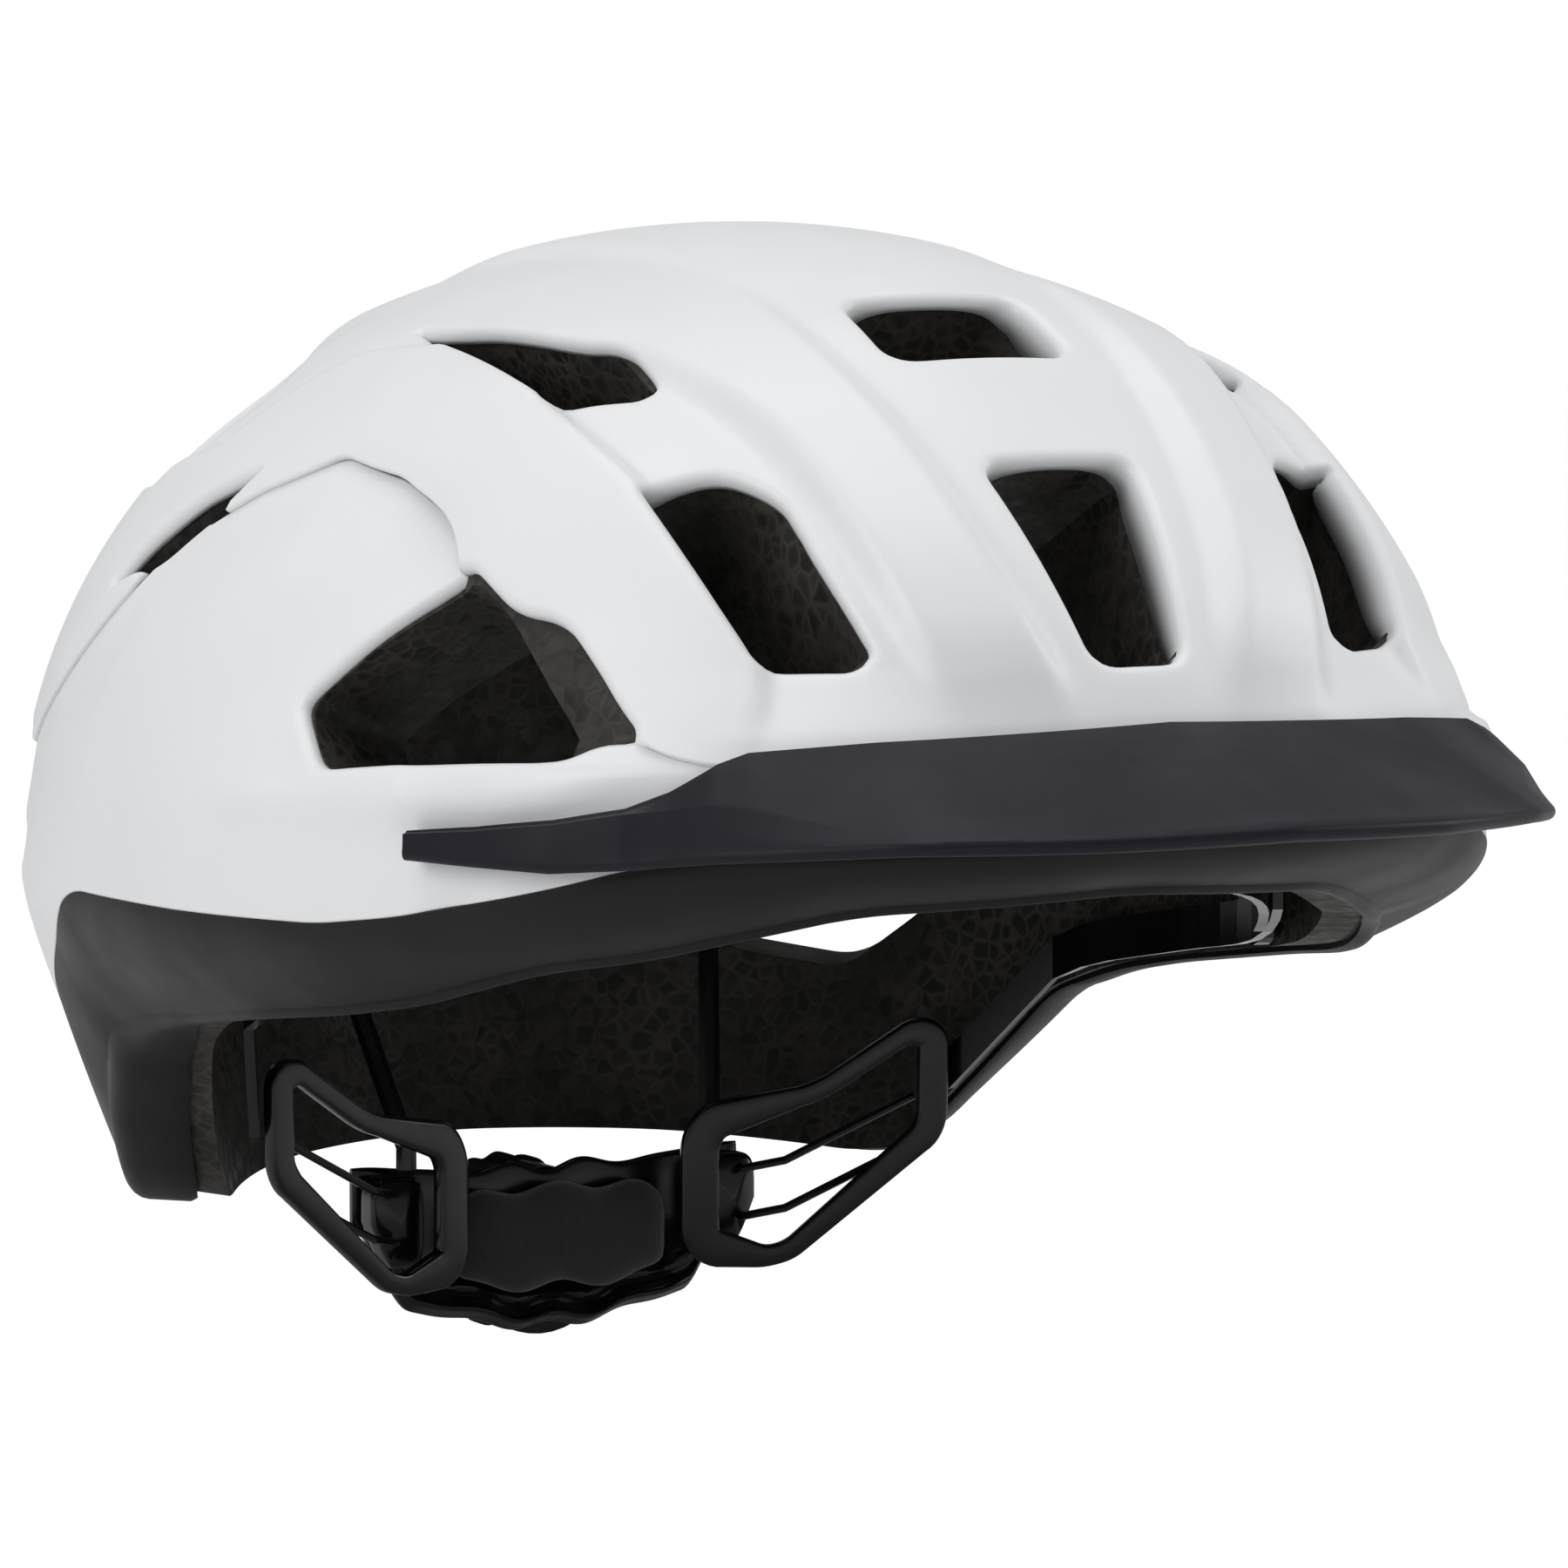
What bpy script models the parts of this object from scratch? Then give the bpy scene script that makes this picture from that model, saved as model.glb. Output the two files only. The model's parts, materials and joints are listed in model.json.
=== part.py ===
"""A vented bicycle helmet with a clip-on visor and a dial-fitted cradle.

Metres, +Z up.  The helmet faces -Y and its wearer's left side is +X.  The origin lies on the
surface under the lowest point of the dial, in the middle of the helmet's length and width.
A place on the shell is given by its bearing, the angle round the head from the front, and its
rise, the angle above the shell's widest level seen from the shell's centre.
"""
import math

import bmesh
import bpy
from mathutils import Vector

MM = 0.001

# Outer shell, as half sizes from its centre
SHELL_HALF_WIDTH = 105.0 * MM
SHELL_FRONT = 132.0 * MM
SHELL_REAR = 147.0 * MM
SHELL_HEIGHT = 102.0 * MM
PLAN_POWER = 2.13
PROFILE_POWER = 2.04
SKIRT_TAPER = 0.165
SKIRT_TAPER_POWER = 1.25
SKIRT_DEPTH = 57.5 * MM
SKIN_THICKNESS = 1.2 * MM
CONTACT_GAP = 0.3 * MM

# Head cavity inside the foam, as half sizes from the same centre
CAVITY_HALF_WIDTH = 82.0 * MM
CAVITY_FRONT = 103.0 * MM
CAVITY_REAR = 117.0 * MM
CAVITY_HEIGHT = 74.0 * MM
CAVITY_TAPER = 0.10

# Lower edge of the shell: bearing in degrees and height over the widest level
RIM = ((0, 8.3), (20, 6), (36, -1.5), (45, -4.1), (58, -10.5), (68, -13.2), (80, -15.5), (100, -20),
       (108, -22.5), (117, -27.5), (126, -41), (135, -55), (140, -57), (160, -55), (180, -54))
# How far the wall draws in on its way down to that edge, and the height where it starts
TUCK = ((0, 17.5), (20, 19), (36, 20.5), (45, 20.5), (58, 16.5), (68, 13), (80, 10.5), (100, 11),
        (117, 12), (126, 7), (135, 2.5), (145, 0), (180, 0))
TUCK_START = ((0, 17), (30, 15.5), (44, 9.5), (55, 5), (63, 3), (83, 1.5), (104, 0), (180, 0))
# Joints between the skins: bearing and rise in degrees
UPPER_JOINT = ((0, 13), (30, 13), (34.5, 14.2), (36.2, 15.5), (40, 17.5), (48, 19), (52, 26),
               (54, 31), (56, 33.5), (59, 35.5), (66, 38.8), (79, 41.6), (92, 37.5), (105, 30.6),
               (117, 19.5), (123, 14.7), (132, 9.4), (150, 6), (180, 5))
BASE_JOINT = ((0, 7.6), (30, 7.2), (36, 6.4), (44, 4.6), (55, 2.5), (63, 1.5), (83, 0.9),
              (104, 0.5), (108, -0.6), (112, -2.6), (118, -5.2), (130, -9.7), (150, -13), (180, -14))
REAR_PANEL_BEARING = 119.0

# Vents on the wearer's left, as bearing and rise; each has a twin on the right
SIDE_VENTS = {
    "front_side_vent": ((38, 35), (30, 36), (25, 33.5), (22, 27.5), (18.5, 20), (20, 19),
                        (27, 19.3), (30, 24)),
    "mid_vent": ((95, 56), (75, 56.5), (52, 52), (45, 51), (38.5, 46), (40, 45.2), (51, 45),
                 (63, 50.3), (77, 54)),
    "temple_vent": ((68.5, 18.5), (52.5, 28.5), (47, 24.7), (42.3, 24), (35.5, 15.2),
                    (38.5, 15.3), (41.7, 13.7), (63.7, 13.2)),
    "rear_side_vent": ((115, 23.7), (112.5, 27.5), (105, 34), (94, 38.5), (97, 35.6), (106, 28.5)),
    "rear_upper_vent": ((118, 46), (140, 50), (150, 40), (142, 30), (128, 32)),
    "rear_low_vent": ((123, 3), (150, 4.5), (158, -1), (152, -6), (128, -6)),
}
MIDDLE_VENTS = {
    "centre_vent": ((-7.7, 36), (7.7, 36), (3.7, 19.3), (-3.7, 19.3)),
    "top_vent": ((-12, 57.5), (12, 57.5), (9.5, 48), (-9.5, 48)),
    "rear_middle_vent": ((168, 38), (192, 38), (187, 20), (173, 20)),
}

# Ribs and channels of the upper shell.  Each row starts with the angle from the front over the crown;
# the lines give the angle to either side, and the rises give millimetres over the dome.
CENTRE_LINE = ((0, 5), (10, 5), (17.5, 5.8), (28, 8.9), (40, 11.1), (52, 13), (70, 14.5), (90, 15),
               (120, 14), (150, 10.5), (180, 8))
CENTRE_RISE = ((0, 0), (45, 0), (55, 0.8), (110, 0.8), (150, 0), (180, 0))
RIB_RISE = ((0, 0), (16, 0), (21, 3.4), (30, 4.2), (45, 3.6), (60, 2), (72, 0.2), (85, -1.2),
            (110, -1.2), (135, 1.4), (160, 1), (170, 0), (180, 0))
INNER_LINE = ((0, 13.5), (14, 13.5), (21, 15.4), (28, 17), (35, 18.4), (45, 20.8), (52, 23.2),
              (60, 25.2), (70, 29.4), (80, 31.2), (98, 32), (115, 24), (135, 19), (160, 14), (180, 13))
OUTER_LINE = ((0, 27.5), (14, 27.5), (21, 27.2), (28, 29.2), (35, 31.2), (42, 32.4), (50, 33.6),
              (60, 35.9), (70, 37), (80, 37), (98, 38), (115, 45), (135, 40), (160, 25), (180, 24))
SIDE_RISE = ((0, 0), (20, 0), (60, -0.6), (80, -1.4), (98, -1), (115, -1.4), (140, -1.4), (160, 0),
             (180, 0))
FLANK_RISE = ((0, 0), (16, 0), (21, 2.6), (30, 3.6), (50, 3.6), (70, 2.6), (90, 0.8), (105, 0), (180, 0))
FLANK_FADE = 0.15
CHANNEL_RAMP = 2.2
UPPER_STATIONS = (6, 12, 16, 18.5, 21, 30, 37, 45, 52, 60, 70, 78, 85, 92, 98, 105, 112, 120, 128, 136,
                  144, 152, 160, 170, 178)
UPPER_SIDES = (50.0, 56.0, 63.0)
UPPER_THICKNESS = 1.9 * MM
SEAT_GAP = 0.5 * MM

# Visor by bearing: heights of its top edge and lip over the widest level, and the lip's reach
VISOR_TOP = ((0, 32.5), (20, 31), (28, 30), (30, 28.5), (33, 24.5), (36, 21.8), (41, 20), (53, 17.4))
VISOR_LIP = ((0, 20), (20, 18.6), (30, 16.5), (36, 14.6), (41, 13.6), (53, 13.2))
VISOR_REACH = ((0, 33), (10, 31), (20, 25), (27, 17.5), (33, 11), (36, 8.5), (41, 5.5), (47, 3), (53, 2))
VISOR_HALF_ANGLE = 53.0
VISOR_STEPS = 36
VISOR_THICKNESS = 2.4 * MM
VISOR_CLEARANCE = 0.8 * MM
PEG_RADIUS = 2.0 * MM
PEG_CLEARANCE = 0.4 * MM
PEG_SPREAD = 30.0 * MM
PEG_HEIGHT = 25.5 * MM
PEG_DEPTH = 9.0 * MM

# Cradle: dial, housing, carrier and pad on one axis along Y
DIAL_RADIUS = 16.0 * MM
DIAL_DEPTH = 8.0 * MM
DIAL_RIDGES = 24
DIAL_RIDGE_DEPTH = 0.9 * MM
DIAL_CORE_RADIUS = 12.5 * MM
HOUSING_RADIUS = 14.0 * MM
HOUSING_DEPTH = 9.0 * MM
SPOOL_RADIUS = 5.0 * MM
SPOOL_CLEARANCE = 0.5 * MM
SCREW_RADIUS = 3.0 * MM
SCREW_DEPTH = 2.0 * MM
CARRIER_Y = 78.0 * MM
CARRIER_HALF_WIDTH = 38.0 * MM
CARRIER_THICKNESS = 3.0 * MM
CARRIER_BOTTOM = 10.0 * MM
CARRIER_TOP = 33.0 * MM
PAD_HALF_WIDTH = 20.0 * MM
PAD_HALF_HEIGHT = 9.5 * MM
PAD_THICKNESS = 6.5 * MM
GUIDE_WIDTH = 12.0 * MM
GUIDE_DEPTH = 7.0 * MM
GUIDE_HEIGHT = 17.0 * MM
GUIDE_CORNER = 1.0 * MM

# Posts, their anchors and the way the cradle slides on them
POST_RADIUS = 1.8 * MM
POST_SPREAD = 34.0 * MM
POST_LEAN = 0.28
POST_TOP = 118.0 * MM
ANCHOR_HALF_WIDTH = 5.0 * MM
ANCHOR_HEIGHT = 12.0 * MM
ANCHOR_LEVEL = 97.0 * MM
ANCHOR_CLEARANCE = 0.4 * MM

# Halo band, its arms and the brackets that the laces draw in
BAND_THICKNESS = 1.6 * MM
BAND_HEIGHT = 9.0 * MM
BAND_INSET = 9.0 * MM
BAND_END_BEARING = 52.0
BAND_RISE = 11.0 * MM
BAND_FALL = 13.6 * MM
BAND_STEPS = 24
ARM_HEIGHT = 7.0 * MM
ARM_GAP = 0.5 * MM
ARM_START_BEARING = 44.0
ARM_END_BEARING = 112.0
ARM_STEPS = 12
ARM_OVER_RIM = 5.0 * MM
BAND_ANCHOR_BEARING = 28.0
BAND_ANCHOR_RADIUS = 3.5 * MM
BRACKET_THICKNESS = 2.6 * MM
BRACKET_INNER_X = 20.0 * MM
BRACKET_OUTER_X = 62.0 * MM
BRACKET_FORWARD = 15.0 * MM
BRACKET_OUTLINE = ((0, 15), (13, 12.5), (17, 13.5), (44, 35), (44, 55), (40, 55), (22, 44),
                   (6, 40), (0, 34))
BRACKET_SLOT = ((6, 21), (15, 18.5), (38, 37), (38, 47), (24, 38.5), (6, 33))
LACE_RADIUS = 0.7 * MM
LACE_CLEARANCE = 0.35 * MM
LACE_LEVELS = (21.0 * MM, 29.0 * MM)

# Pads and strap anchors, with the gap that they keep to the cavity wall
WALL_GAP = 0.7 * MM
BROW_PAD_BEARING = 16.0
BROW_PAD_HEIGHT = 16.0 * MM
BROW_PAD_THICKNESS = 5.0 * MM
BROW_PAD_STEPS = 12
CROWN_PAD_HALF_SIZE = (11.0 * MM, 34.0 * MM, 3.0 * MM)
CROWN_PAD_CORNER = 1.5 * MM
CROWN_PAD_SPREAD = 17.0 * MM
STRAP_ANCHOR_RADIUS = 6.0 * MM
STRAP_ANCHOR_DEPTH = 2.5 * MM
STRAP_ANCHOR_BEARINGS = {"front": 70.0, "rear": 128.0}
STRAP_ANCHOR_DROP = 6.0 * MM

# Mesh steps and the far reach of cutting tools
BEARING_STEP = 7.5
DOME_RINGS = 9
SKIRT_RINGS = 3
SKIRT_START = 88.0
SKIRT_LEAST = 8.0
CUT_REACH = 300.0 * MM
CUT_START = 30.0 * MM

EQUATOR_Z = 85.0 * MM
SKIRT_STEP = SHELL_HEIGHT * math.pi / 180.0


def interpolate(table, angle):
    """Value at an angle of a table of (angle, value) rows that is the same on both sides."""
    angle = abs((angle + 180.0) % 360.0 - 180.0)
    for (a0, v0), (a1, v1) in zip(table, table[1:]):
        if angle <= a1:
            return v0 + (v1 - v0) * (angle - a0) / (a1 - a0)
    return table[-1][1]


def direction(bearing, rise):
    angle = math.radians(bearing)
    lift = math.radians(rise)
    return Vector((math.sin(angle) * math.cos(lift), -math.cos(angle) * math.cos(lift),
                   math.sin(lift)))


class Form:
    """A rounded bowl with superellipse sections, tapering below its widest level."""

    def __init__(self, half_width, front, rear, height, taper, tucked=False):
        self.half_width = half_width
        self.front = front
        self.rear = rear
        self.height = height
        self.taper = taper
        self.tucked = tucked

    def inset(self, amount):
        return Form(self.half_width - amount, self.front - amount, self.rear - amount,
                    self.height - amount, self.taper, self.tucked)

    def spread(self, z):
        """Share of the widest section left at a height."""
        if z >= 0.0:
            share = min(z / self.height, 1.0)
            return (1.0 - share ** PROFILE_POWER) ** (1.0 / PROFILE_POWER)
        return 1.0 - self.taper * (-z / SKIRT_DEPTH) ** SKIRT_TAPER_POWER

    def plan(self, bearing, spread):
        """Point of a section in the direction of a bearing."""
        angle = math.radians(bearing)
        length = self.front if math.cos(angle) > 0.0 else self.rear
        across = abs(math.sin(angle) / self.half_width) ** PLAN_POWER
        ahead = abs(math.cos(angle) / length) ** PLAN_POWER
        reach = spread * (across + ahead) ** (-1.0 / PLAN_POWER)
        return math.sin(angle) * reach, -math.cos(angle) * reach

    def at_height(self, bearing, z):
        point = Vector((*self.plan(bearing, self.spread(z)), z))
        start = interpolate(TUCK_START, bearing) * MM
        if self.tucked and z < start:
            share = min((start - z) / (start - interpolate(RIM, bearing) * MM), 1.0)
            point -= direction(bearing, 0.0) * interpolate(TUCK, bearing) * MM * share ** 2
        return point

    def height_over(self, x, y):
        """Height of the dome over a place in plan."""
        length = self.front if y < 0.0 else self.rear
        share = (abs(x / self.half_width) ** PLAN_POWER + abs(y / length) ** PLAN_POWER) ** (1.0 / PLAN_POWER)
        return self.height * (1.0 - share ** PROFILE_POWER) ** (1.0 / PROFILE_POWER)

    def along(self, ray):
        """Point of the dome along a unit vector that doesn't point down."""
        length = self.front if ray.y < 0.0 else self.rear
        level = (abs(ray.x / self.half_width) ** PLAN_POWER
                 + abs(ray.y / length) ** PLAN_POWER) ** (1.0 / PLAN_POWER)
        gauge = level ** PROFILE_POWER + (ray.z / self.height) ** PROFILE_POWER
        return ray * gauge ** (-1.0 / PROFILE_POWER)

    def on_meridian(self, bearing, ring):
        """Point on a ring: the first rings share the dome, the last ones step down to the lower edge."""
        rim = interpolate(RIM, bearing) * MM
        if rim >= 0.0:
            last = 90.0 - math.degrees(math.asin((rim / self.height) ** (PROFILE_POWER / 2.0)))
        else:
            last = 90.0 - rim / SKIRT_STEP
        dome_end = min(SKIRT_START, last - SKIRT_LEAST)
        if ring <= DOME_RINGS:
            angle = dome_end * ring / DOME_RINGS
        else:
            angle = dome_end + (last - dome_end) * (ring - DOME_RINGS) / SKIRT_RINGS
        if angle < 90.0:
            z = self.height * math.cos(math.radians(angle)) ** (2.0 / PROFILE_POWER)
        else:
            z = (90.0 - angle) * SKIRT_STEP
        return self.at_height(bearing, z)


SHELL = Form(SHELL_HALF_WIDTH, SHELL_FRONT, SHELL_REAR, SHELL_HEIGHT, SKIRT_TAPER, True)
SKIN_INSIDE = SHELL.inset(SKIN_THICKNESS)
FOAM = SKIN_INSIDE.inset(CONTACT_GAP)
CAVITY = Form(CAVITY_HALF_WIDTH, CAVITY_FRONT, CAVITY_REAR, CAVITY_HEIGHT, CAVITY_TAPER)
# The visor's front and the shell's rear lie equally far from the origin
LIP_LEVEL = VISOR_LIP[0][1] * MM
VISOR_FRONT = -SHELL.at_height(0.0, LIP_LEVEL).y + VISOR_REACH[0][1] * MM
CENTRE = Vector((0.0, (VISOR_FRONT - SHELL_REAR) / 2.0, EQUATOR_Z))
LOBE_BEARINGS = (108.0, 112.5, 117.0, 121.5, 126.0, 130.5, 135.0)


def clear_scene():
    for item in list(bpy.data.objects):
        bpy.data.objects.remove(item, do_unlink=True)


def new_collection(name):
    collection = bpy.data.collections.new(name)
    bpy.context.scene.collection.children.link(collection)
    return collection


def paint(name, colour, roughness, metallic=0.0):
    material = bpy.data.materials.new(name)
    material.use_nodes = True
    shader = material.node_tree.nodes["Principled BSDF"]
    shader.inputs["Base Color"].default_value = (*colour, 1.0)
    shader.inputs["Roughness"].default_value = roughness
    shader.inputs["Metallic"].default_value = metallic
    return material


clear_scene()
PARTS = new_collection("helmet")
TOOLS = new_collection("helmet_cutters")
THROUGH_TOOLS = new_collection("helmet_through_cutters")
FRAME = bpy.data.objects.new("shell_centre", None)
FRAME.location = CENTRE
PARTS.objects.link(FRAME)


def add_object(name, data, collection, location=(0.0, 0.0, 0.0), parent=None):
    item = bpy.data.objects.new(name, data)
    item.location = location
    item.parent = parent
    collection.objects.link(item)
    return item


def add_part(name, data, colour, roughness, location=(0.0, 0.0, 0.0), parent=None, metallic=0.0):
    data.materials.append(paint(name + "_paint", colour, roughness, metallic))
    return add_object(name, data, PARTS, location, parent)


def add_tool(name, data, location=(0.0, 0.0, 0.0), parent=None):
    item = add_object(name, data, TOOLS, location, parent)
    item.hide_render = True
    item.display_type = "WIRE"
    return item


def to_mesh(name, bm):
    bmesh.ops.recalc_face_normals(bm, faces=bm.faces)
    data = bpy.data.meshes.new(name)
    bm.to_mesh(data)
    bm.free()
    data.shade_smooth()
    data.set_sharp_from_angle(angle=math.radians(35.0))
    return data


def cut(item, tool, operation="DIFFERENCE"):
    change = item.modifiers.new(tool.name, "BOOLEAN")
    change.operation = operation
    change.object = tool


def cut_all(item, tools):
    """One cut with every tool of a collection."""
    change = item.modifiers.new(tools.name, "BOOLEAN")
    change.operation = "DIFFERENCE"
    change.operand_type = "COLLECTION"
    change.collection = tools


def cylinder(name, radius, depth, axis, segments=24):
    """Cylinder round its own middle, along a unit axis."""
    bm = bmesh.new()
    turn = Vector((0.0, 0.0, 1.0)).rotation_difference(Vector(axis)).to_matrix().to_4x4()
    bmesh.ops.create_cone(bm, cap_ends=True, segments=segments, radius1=radius, radius2=radius,
                          depth=depth, matrix=turn)
    return to_mesh(name, bm)


def block(name, size, corner=0.0):
    bm = bmesh.new()
    bmesh.ops.create_cube(bm, size=1.0)
    bmesh.ops.scale(bm, vec=size, verts=bm.verts)
    if corner:
        bmesh.ops.bevel(bm, geom=bm.edges[:], offset=corner, segments=2, affect="EDGES")
    return to_mesh(name, bm)


def flat_outline(name, points, thickness, holes=()):
    """Flat plate from closed outlines in its own X and Y, with its thickness along Z."""
    curve = bpy.data.curves.new(name, "CURVE")
    curve.dimensions = "2D"
    curve.fill_mode = "BOTH"
    curve.extrude = thickness / 2.0
    for outline in (points, *holes):
        spline = curve.splines.new("POLY")
        spline.points.add(len(outline) - 1)
        for target, (x, y) in zip(spline.points, outline):
            target.co = (x, y, 0.0, 1.0)
        spline.use_cyclic_u = True
    return curve


def tube(name, points, radius):
    curve = bpy.data.curves.new(name, "CURVE")
    curve.dimensions = "3D"
    curve.bevel_depth = radius
    curve.bevel_resolution = 2
    curve.use_fill_caps = True
    spline = curve.splines.new("POLY")
    spline.points.add(len(points) - 1)
    for target, point in zip(spline.points, points):
        target.co = (*point, 1.0)
    return curve


def curve_to_mesh_object(name, curve):
    """Mesh with welded caps in place of a curve, so that it can be cut."""
    item = add_object(name + "_curve", curve, TOOLS)
    bpy.context.view_layer.update()
    depsgraph = bpy.context.evaluated_depsgraph_get()
    data = bpy.data.meshes.new_from_object(item.evaluated_get(depsgraph))
    bm = bmesh.new()
    bm.from_mesh(data)
    bmesh.ops.remove_doubles(bm, verts=bm.verts, dist=0.00001)
    bpy.data.objects.remove(item, do_unlink=True)
    return to_mesh(name, bm)


def loft(name, sections):
    """Skin over equal closed sections, with flat ends."""
    bm = bmesh.new()
    rows = [[bm.verts.new(point) for point in section] for section in sections]
    count = len(rows[0])
    bm.faces.new(rows[0])
    bm.faces.new(rows[-1])
    for first, second in zip(rows, rows[1:]):
        for i in range(count):
            j = (i + 1) % count
            bm.faces.new((first[i], first[j], second[j], second[i]))
    return to_mesh(name, bm)


def bearings():
    count = int(round(180.0 / BEARING_STEP))
    half = {i * BEARING_STEP for i in range(count + 1)} | set(LOBE_BEARINGS)
    half -= {b for b in half if LOBE_BEARINGS[0] < b < LOBE_BEARINGS[-1] and b not in LOBE_BEARINGS}
    return sorted(half) + [360.0 - b for b in sorted(half, reverse=True) if 0.0 < b < 180.0]


def bowl(name, outside, inside):
    """Closed bowl between two forms, joined along the helmet's lower edge."""
    bm = bmesh.new()
    rounds = bearings()
    edges = []
    for form in (outside, inside):
        crown = bm.verts.new((0.0, 0.0, form.height))
        rows = [[bm.verts.new(form.on_meridian(b, ring)) for b in rounds]
                for ring in range(1, DOME_RINGS + SKIRT_RINGS + 1)]
        for i in range(len(rounds)):
            j = (i + 1) % len(rounds)
            bm.faces.new((crown, rows[0][i], rows[0][j]))
            for upper, lower in zip(rows, rows[1:]):
                bm.faces.new((upper[i], lower[i], lower[j]))
                bm.faces.new((upper[i], lower[j], upper[j]))
        edges.append(rows[-1])
    for i in range(len(rounds)):
        j = (i + 1) % len(rounds)
        bm.faces.new((edges[0][i], edges[1][i], edges[1][j], edges[0][j]))
    return to_mesh(name, bm)


def sagittal(station, side):
    """Unit vector at an angle from the front over the crown and an angle to the side."""
    forward = math.radians(station)
    across = math.radians(side)
    return Vector((math.sin(across), -math.cos(across) * math.cos(forward),
                   math.cos(across) * math.sin(forward)))


def rib_row(station):
    """Side angles and rises across one half of the upper shell, from the middle outwards."""
    half = CHANNEL_RAMP / 2.0
    middle, inner, outer = (interpolate(line, station) for line in (CENTRE_LINE, INNER_LINE, OUTER_LINE))
    tables = (CENTRE_RISE, RIB_RISE, SIDE_RISE, FLANK_RISE)
    centre, rib, side, flank = (interpolate(rows, station) * MM for rows in tables)
    row = [(0.0, centre), (middle - half, centre), (middle + half, rib), ((middle + inner) / 2.0, rib),
           (inner - half, rib), (inner + half, side), ((inner + outer) / 2.0, side), (outer - half, side),
           (outer + half, flank), (UPPER_SIDES[0], flank * FLANK_FADE)]
    return row + [(angle, 0.0) for angle in UPPER_SIDES[1:]]


def upper_layer(name, top, bottom):
    """Closed layer of the ribbed dome between two depths under its surface."""
    bm = bmesh.new()
    sheets = []
    for depth in (top, bottom):
        rows = []
        for station in UPPER_STATIONS:
            half = rib_row(station)
            row = [(-side, rise) for side, rise in half[:0:-1]] + half
            rays = [sagittal(station, side) for side, _ in row]
            rows.append([bm.verts.new(SHELL.along(ray) + ray * (rise - depth))
                         for ray, (_, rise) in zip(rays, row)])
        for first, second in zip(rows, rows[1:]):
            for i in range(len(first) - 1):
                bm.faces.new((first[i], first[i + 1], second[i + 1]))
                bm.faces.new((first[i], second[i + 1], second[i]))
        sides = [row[-1] for row in rows[1:-1]], [row[0] for row in reversed(rows[1:-1])]
        sheets.append(rows[0] + sides[0] + rows[-1][::-1] + sides[1])
    for i in range(len(sheets[0])):
        j = (i + 1) % len(sheets[0])
        bm.faces.new((sheets[0][i], sheets[0][j], sheets[1][j], sheets[1][i]))
    return to_mesh(name, bm)


def zone(name, table, shift, pole):
    """Everything above or below a joint that runs round the shell: a wide cone with a cap."""
    bm = bmesh.new()
    middle = bm.verts.new((0.0, 0.0, 0.0))
    cap = bm.verts.new((0.0, 0.0, pole * CUT_REACH))
    angles = sorted({a for a, _ in table} | {a for a in range(0, 181, 6)})
    angles = angles + [360.0 - a for a in reversed(angles) if 0.0 < a < 180.0]
    ring = [bm.verts.new(direction(a, interpolate(table, a) + shift) * CUT_REACH) for a in angles]
    for i in range(len(ring)):
        j = (i + 1) % len(ring)
        bm.faces.new((middle, ring[i], ring[j]))
        bm.faces.new((cap, ring[j], ring[i]))
    return add_tool(name, to_mesh(name, bm), parent=FRAME)


def wedge(name, first, last):
    """Upright wedge between two bearings, as wide as the tools reach."""
    steps = 6
    outline = [Vector((0.0, 0.0, 0.0))]
    for i in range(steps + 1):
        outline.append(direction(first + (last - first) * i / steps, 0.0) * CUT_REACH)
    drop = Vector((0.0, 0.0, CUT_REACH))
    sections = [[point + drop * side for point in outline] for side in (-1.0, 1.0)]
    return add_tool(name, loft(name, sections), parent=FRAME)


def vent_tool(name, outline, side=1.0):
    directions = [direction(bearing * side, rise) for bearing, rise in outline]
    sections = [[d * CUT_START for d in directions], [d * CUT_REACH for d in directions]]
    return add_tool(name, loft(name, sections), parent=FRAME)


# Shell skins and foam
WHITE = (0.80, 0.81, 0.82)
GREY = (0.075, 0.08, 0.09)
BLACK = (0.012, 0.012, 0.013)
JOINT_ANGLE = math.degrees(CONTACT_GAP / SHELL_HALF_WIDTH) / 2.0

vent_tools = [vent_tool(name, outline) for name, outline in MIDDLE_VENTS.items()]
for vent_name, vent_outline in SIDE_VENTS.items():
    for side_name, side_sign in (("left", 1.0), ("right", -1.0)):
        vent_tools.append(vent_tool(vent_name + "_" + side_name, vent_outline, side_sign))

peg_tools = []
for side_name, side_sign in (("left", 1.0), ("right", -1.0)):
    peg_hole = cylinder("peg_hole_" + side_name, PEG_RADIUS + PEG_CLEARANCE, CUT_START * 2.0,
                        (0.0, 1.0, 0.0), 16)
    peg_wall = FOAM.spread(PEG_HEIGHT) * SHELL_FRONT
    peg_place = (side_sign * PEG_SPREAD, -peg_wall, PEG_HEIGHT)
    peg_tools.append(add_tool("peg_hole_" + side_name, peg_hole, peg_place, FRAME))

upper_zone = zone("upper_zone", UPPER_JOINT, JOINT_ANGLE, 1.0)
over_upper = zone("over_upper", UPPER_JOINT, -JOINT_ANGLE, 1.0)
base_zone = zone("base_zone", BASE_JOINT, -JOINT_ANGLE, -1.0)
under_base = zone("under_base", BASE_JOINT, JOINT_ANGLE, -1.0)
wedges = {
    "side_panel_left": wedge("left_wedge", JOINT_ANGLE, REAR_PANEL_BEARING - JOINT_ANGLE),
    "side_panel_right": wedge("right_wedge", -REAR_PANEL_BEARING + JOINT_ANGLE, -JOINT_ANGLE),
    "rear_panel": wedge("rear_wedge", REAR_PANEL_BEARING + JOINT_ANGLE,
                        360.0 - REAR_PANEL_BEARING - JOINT_ANGLE),
}


def skin(name, colour, roughness):
    return add_part(name, bowl(name, SHELL, SKIN_INSIDE), colour, roughness, parent=FRAME)


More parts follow.
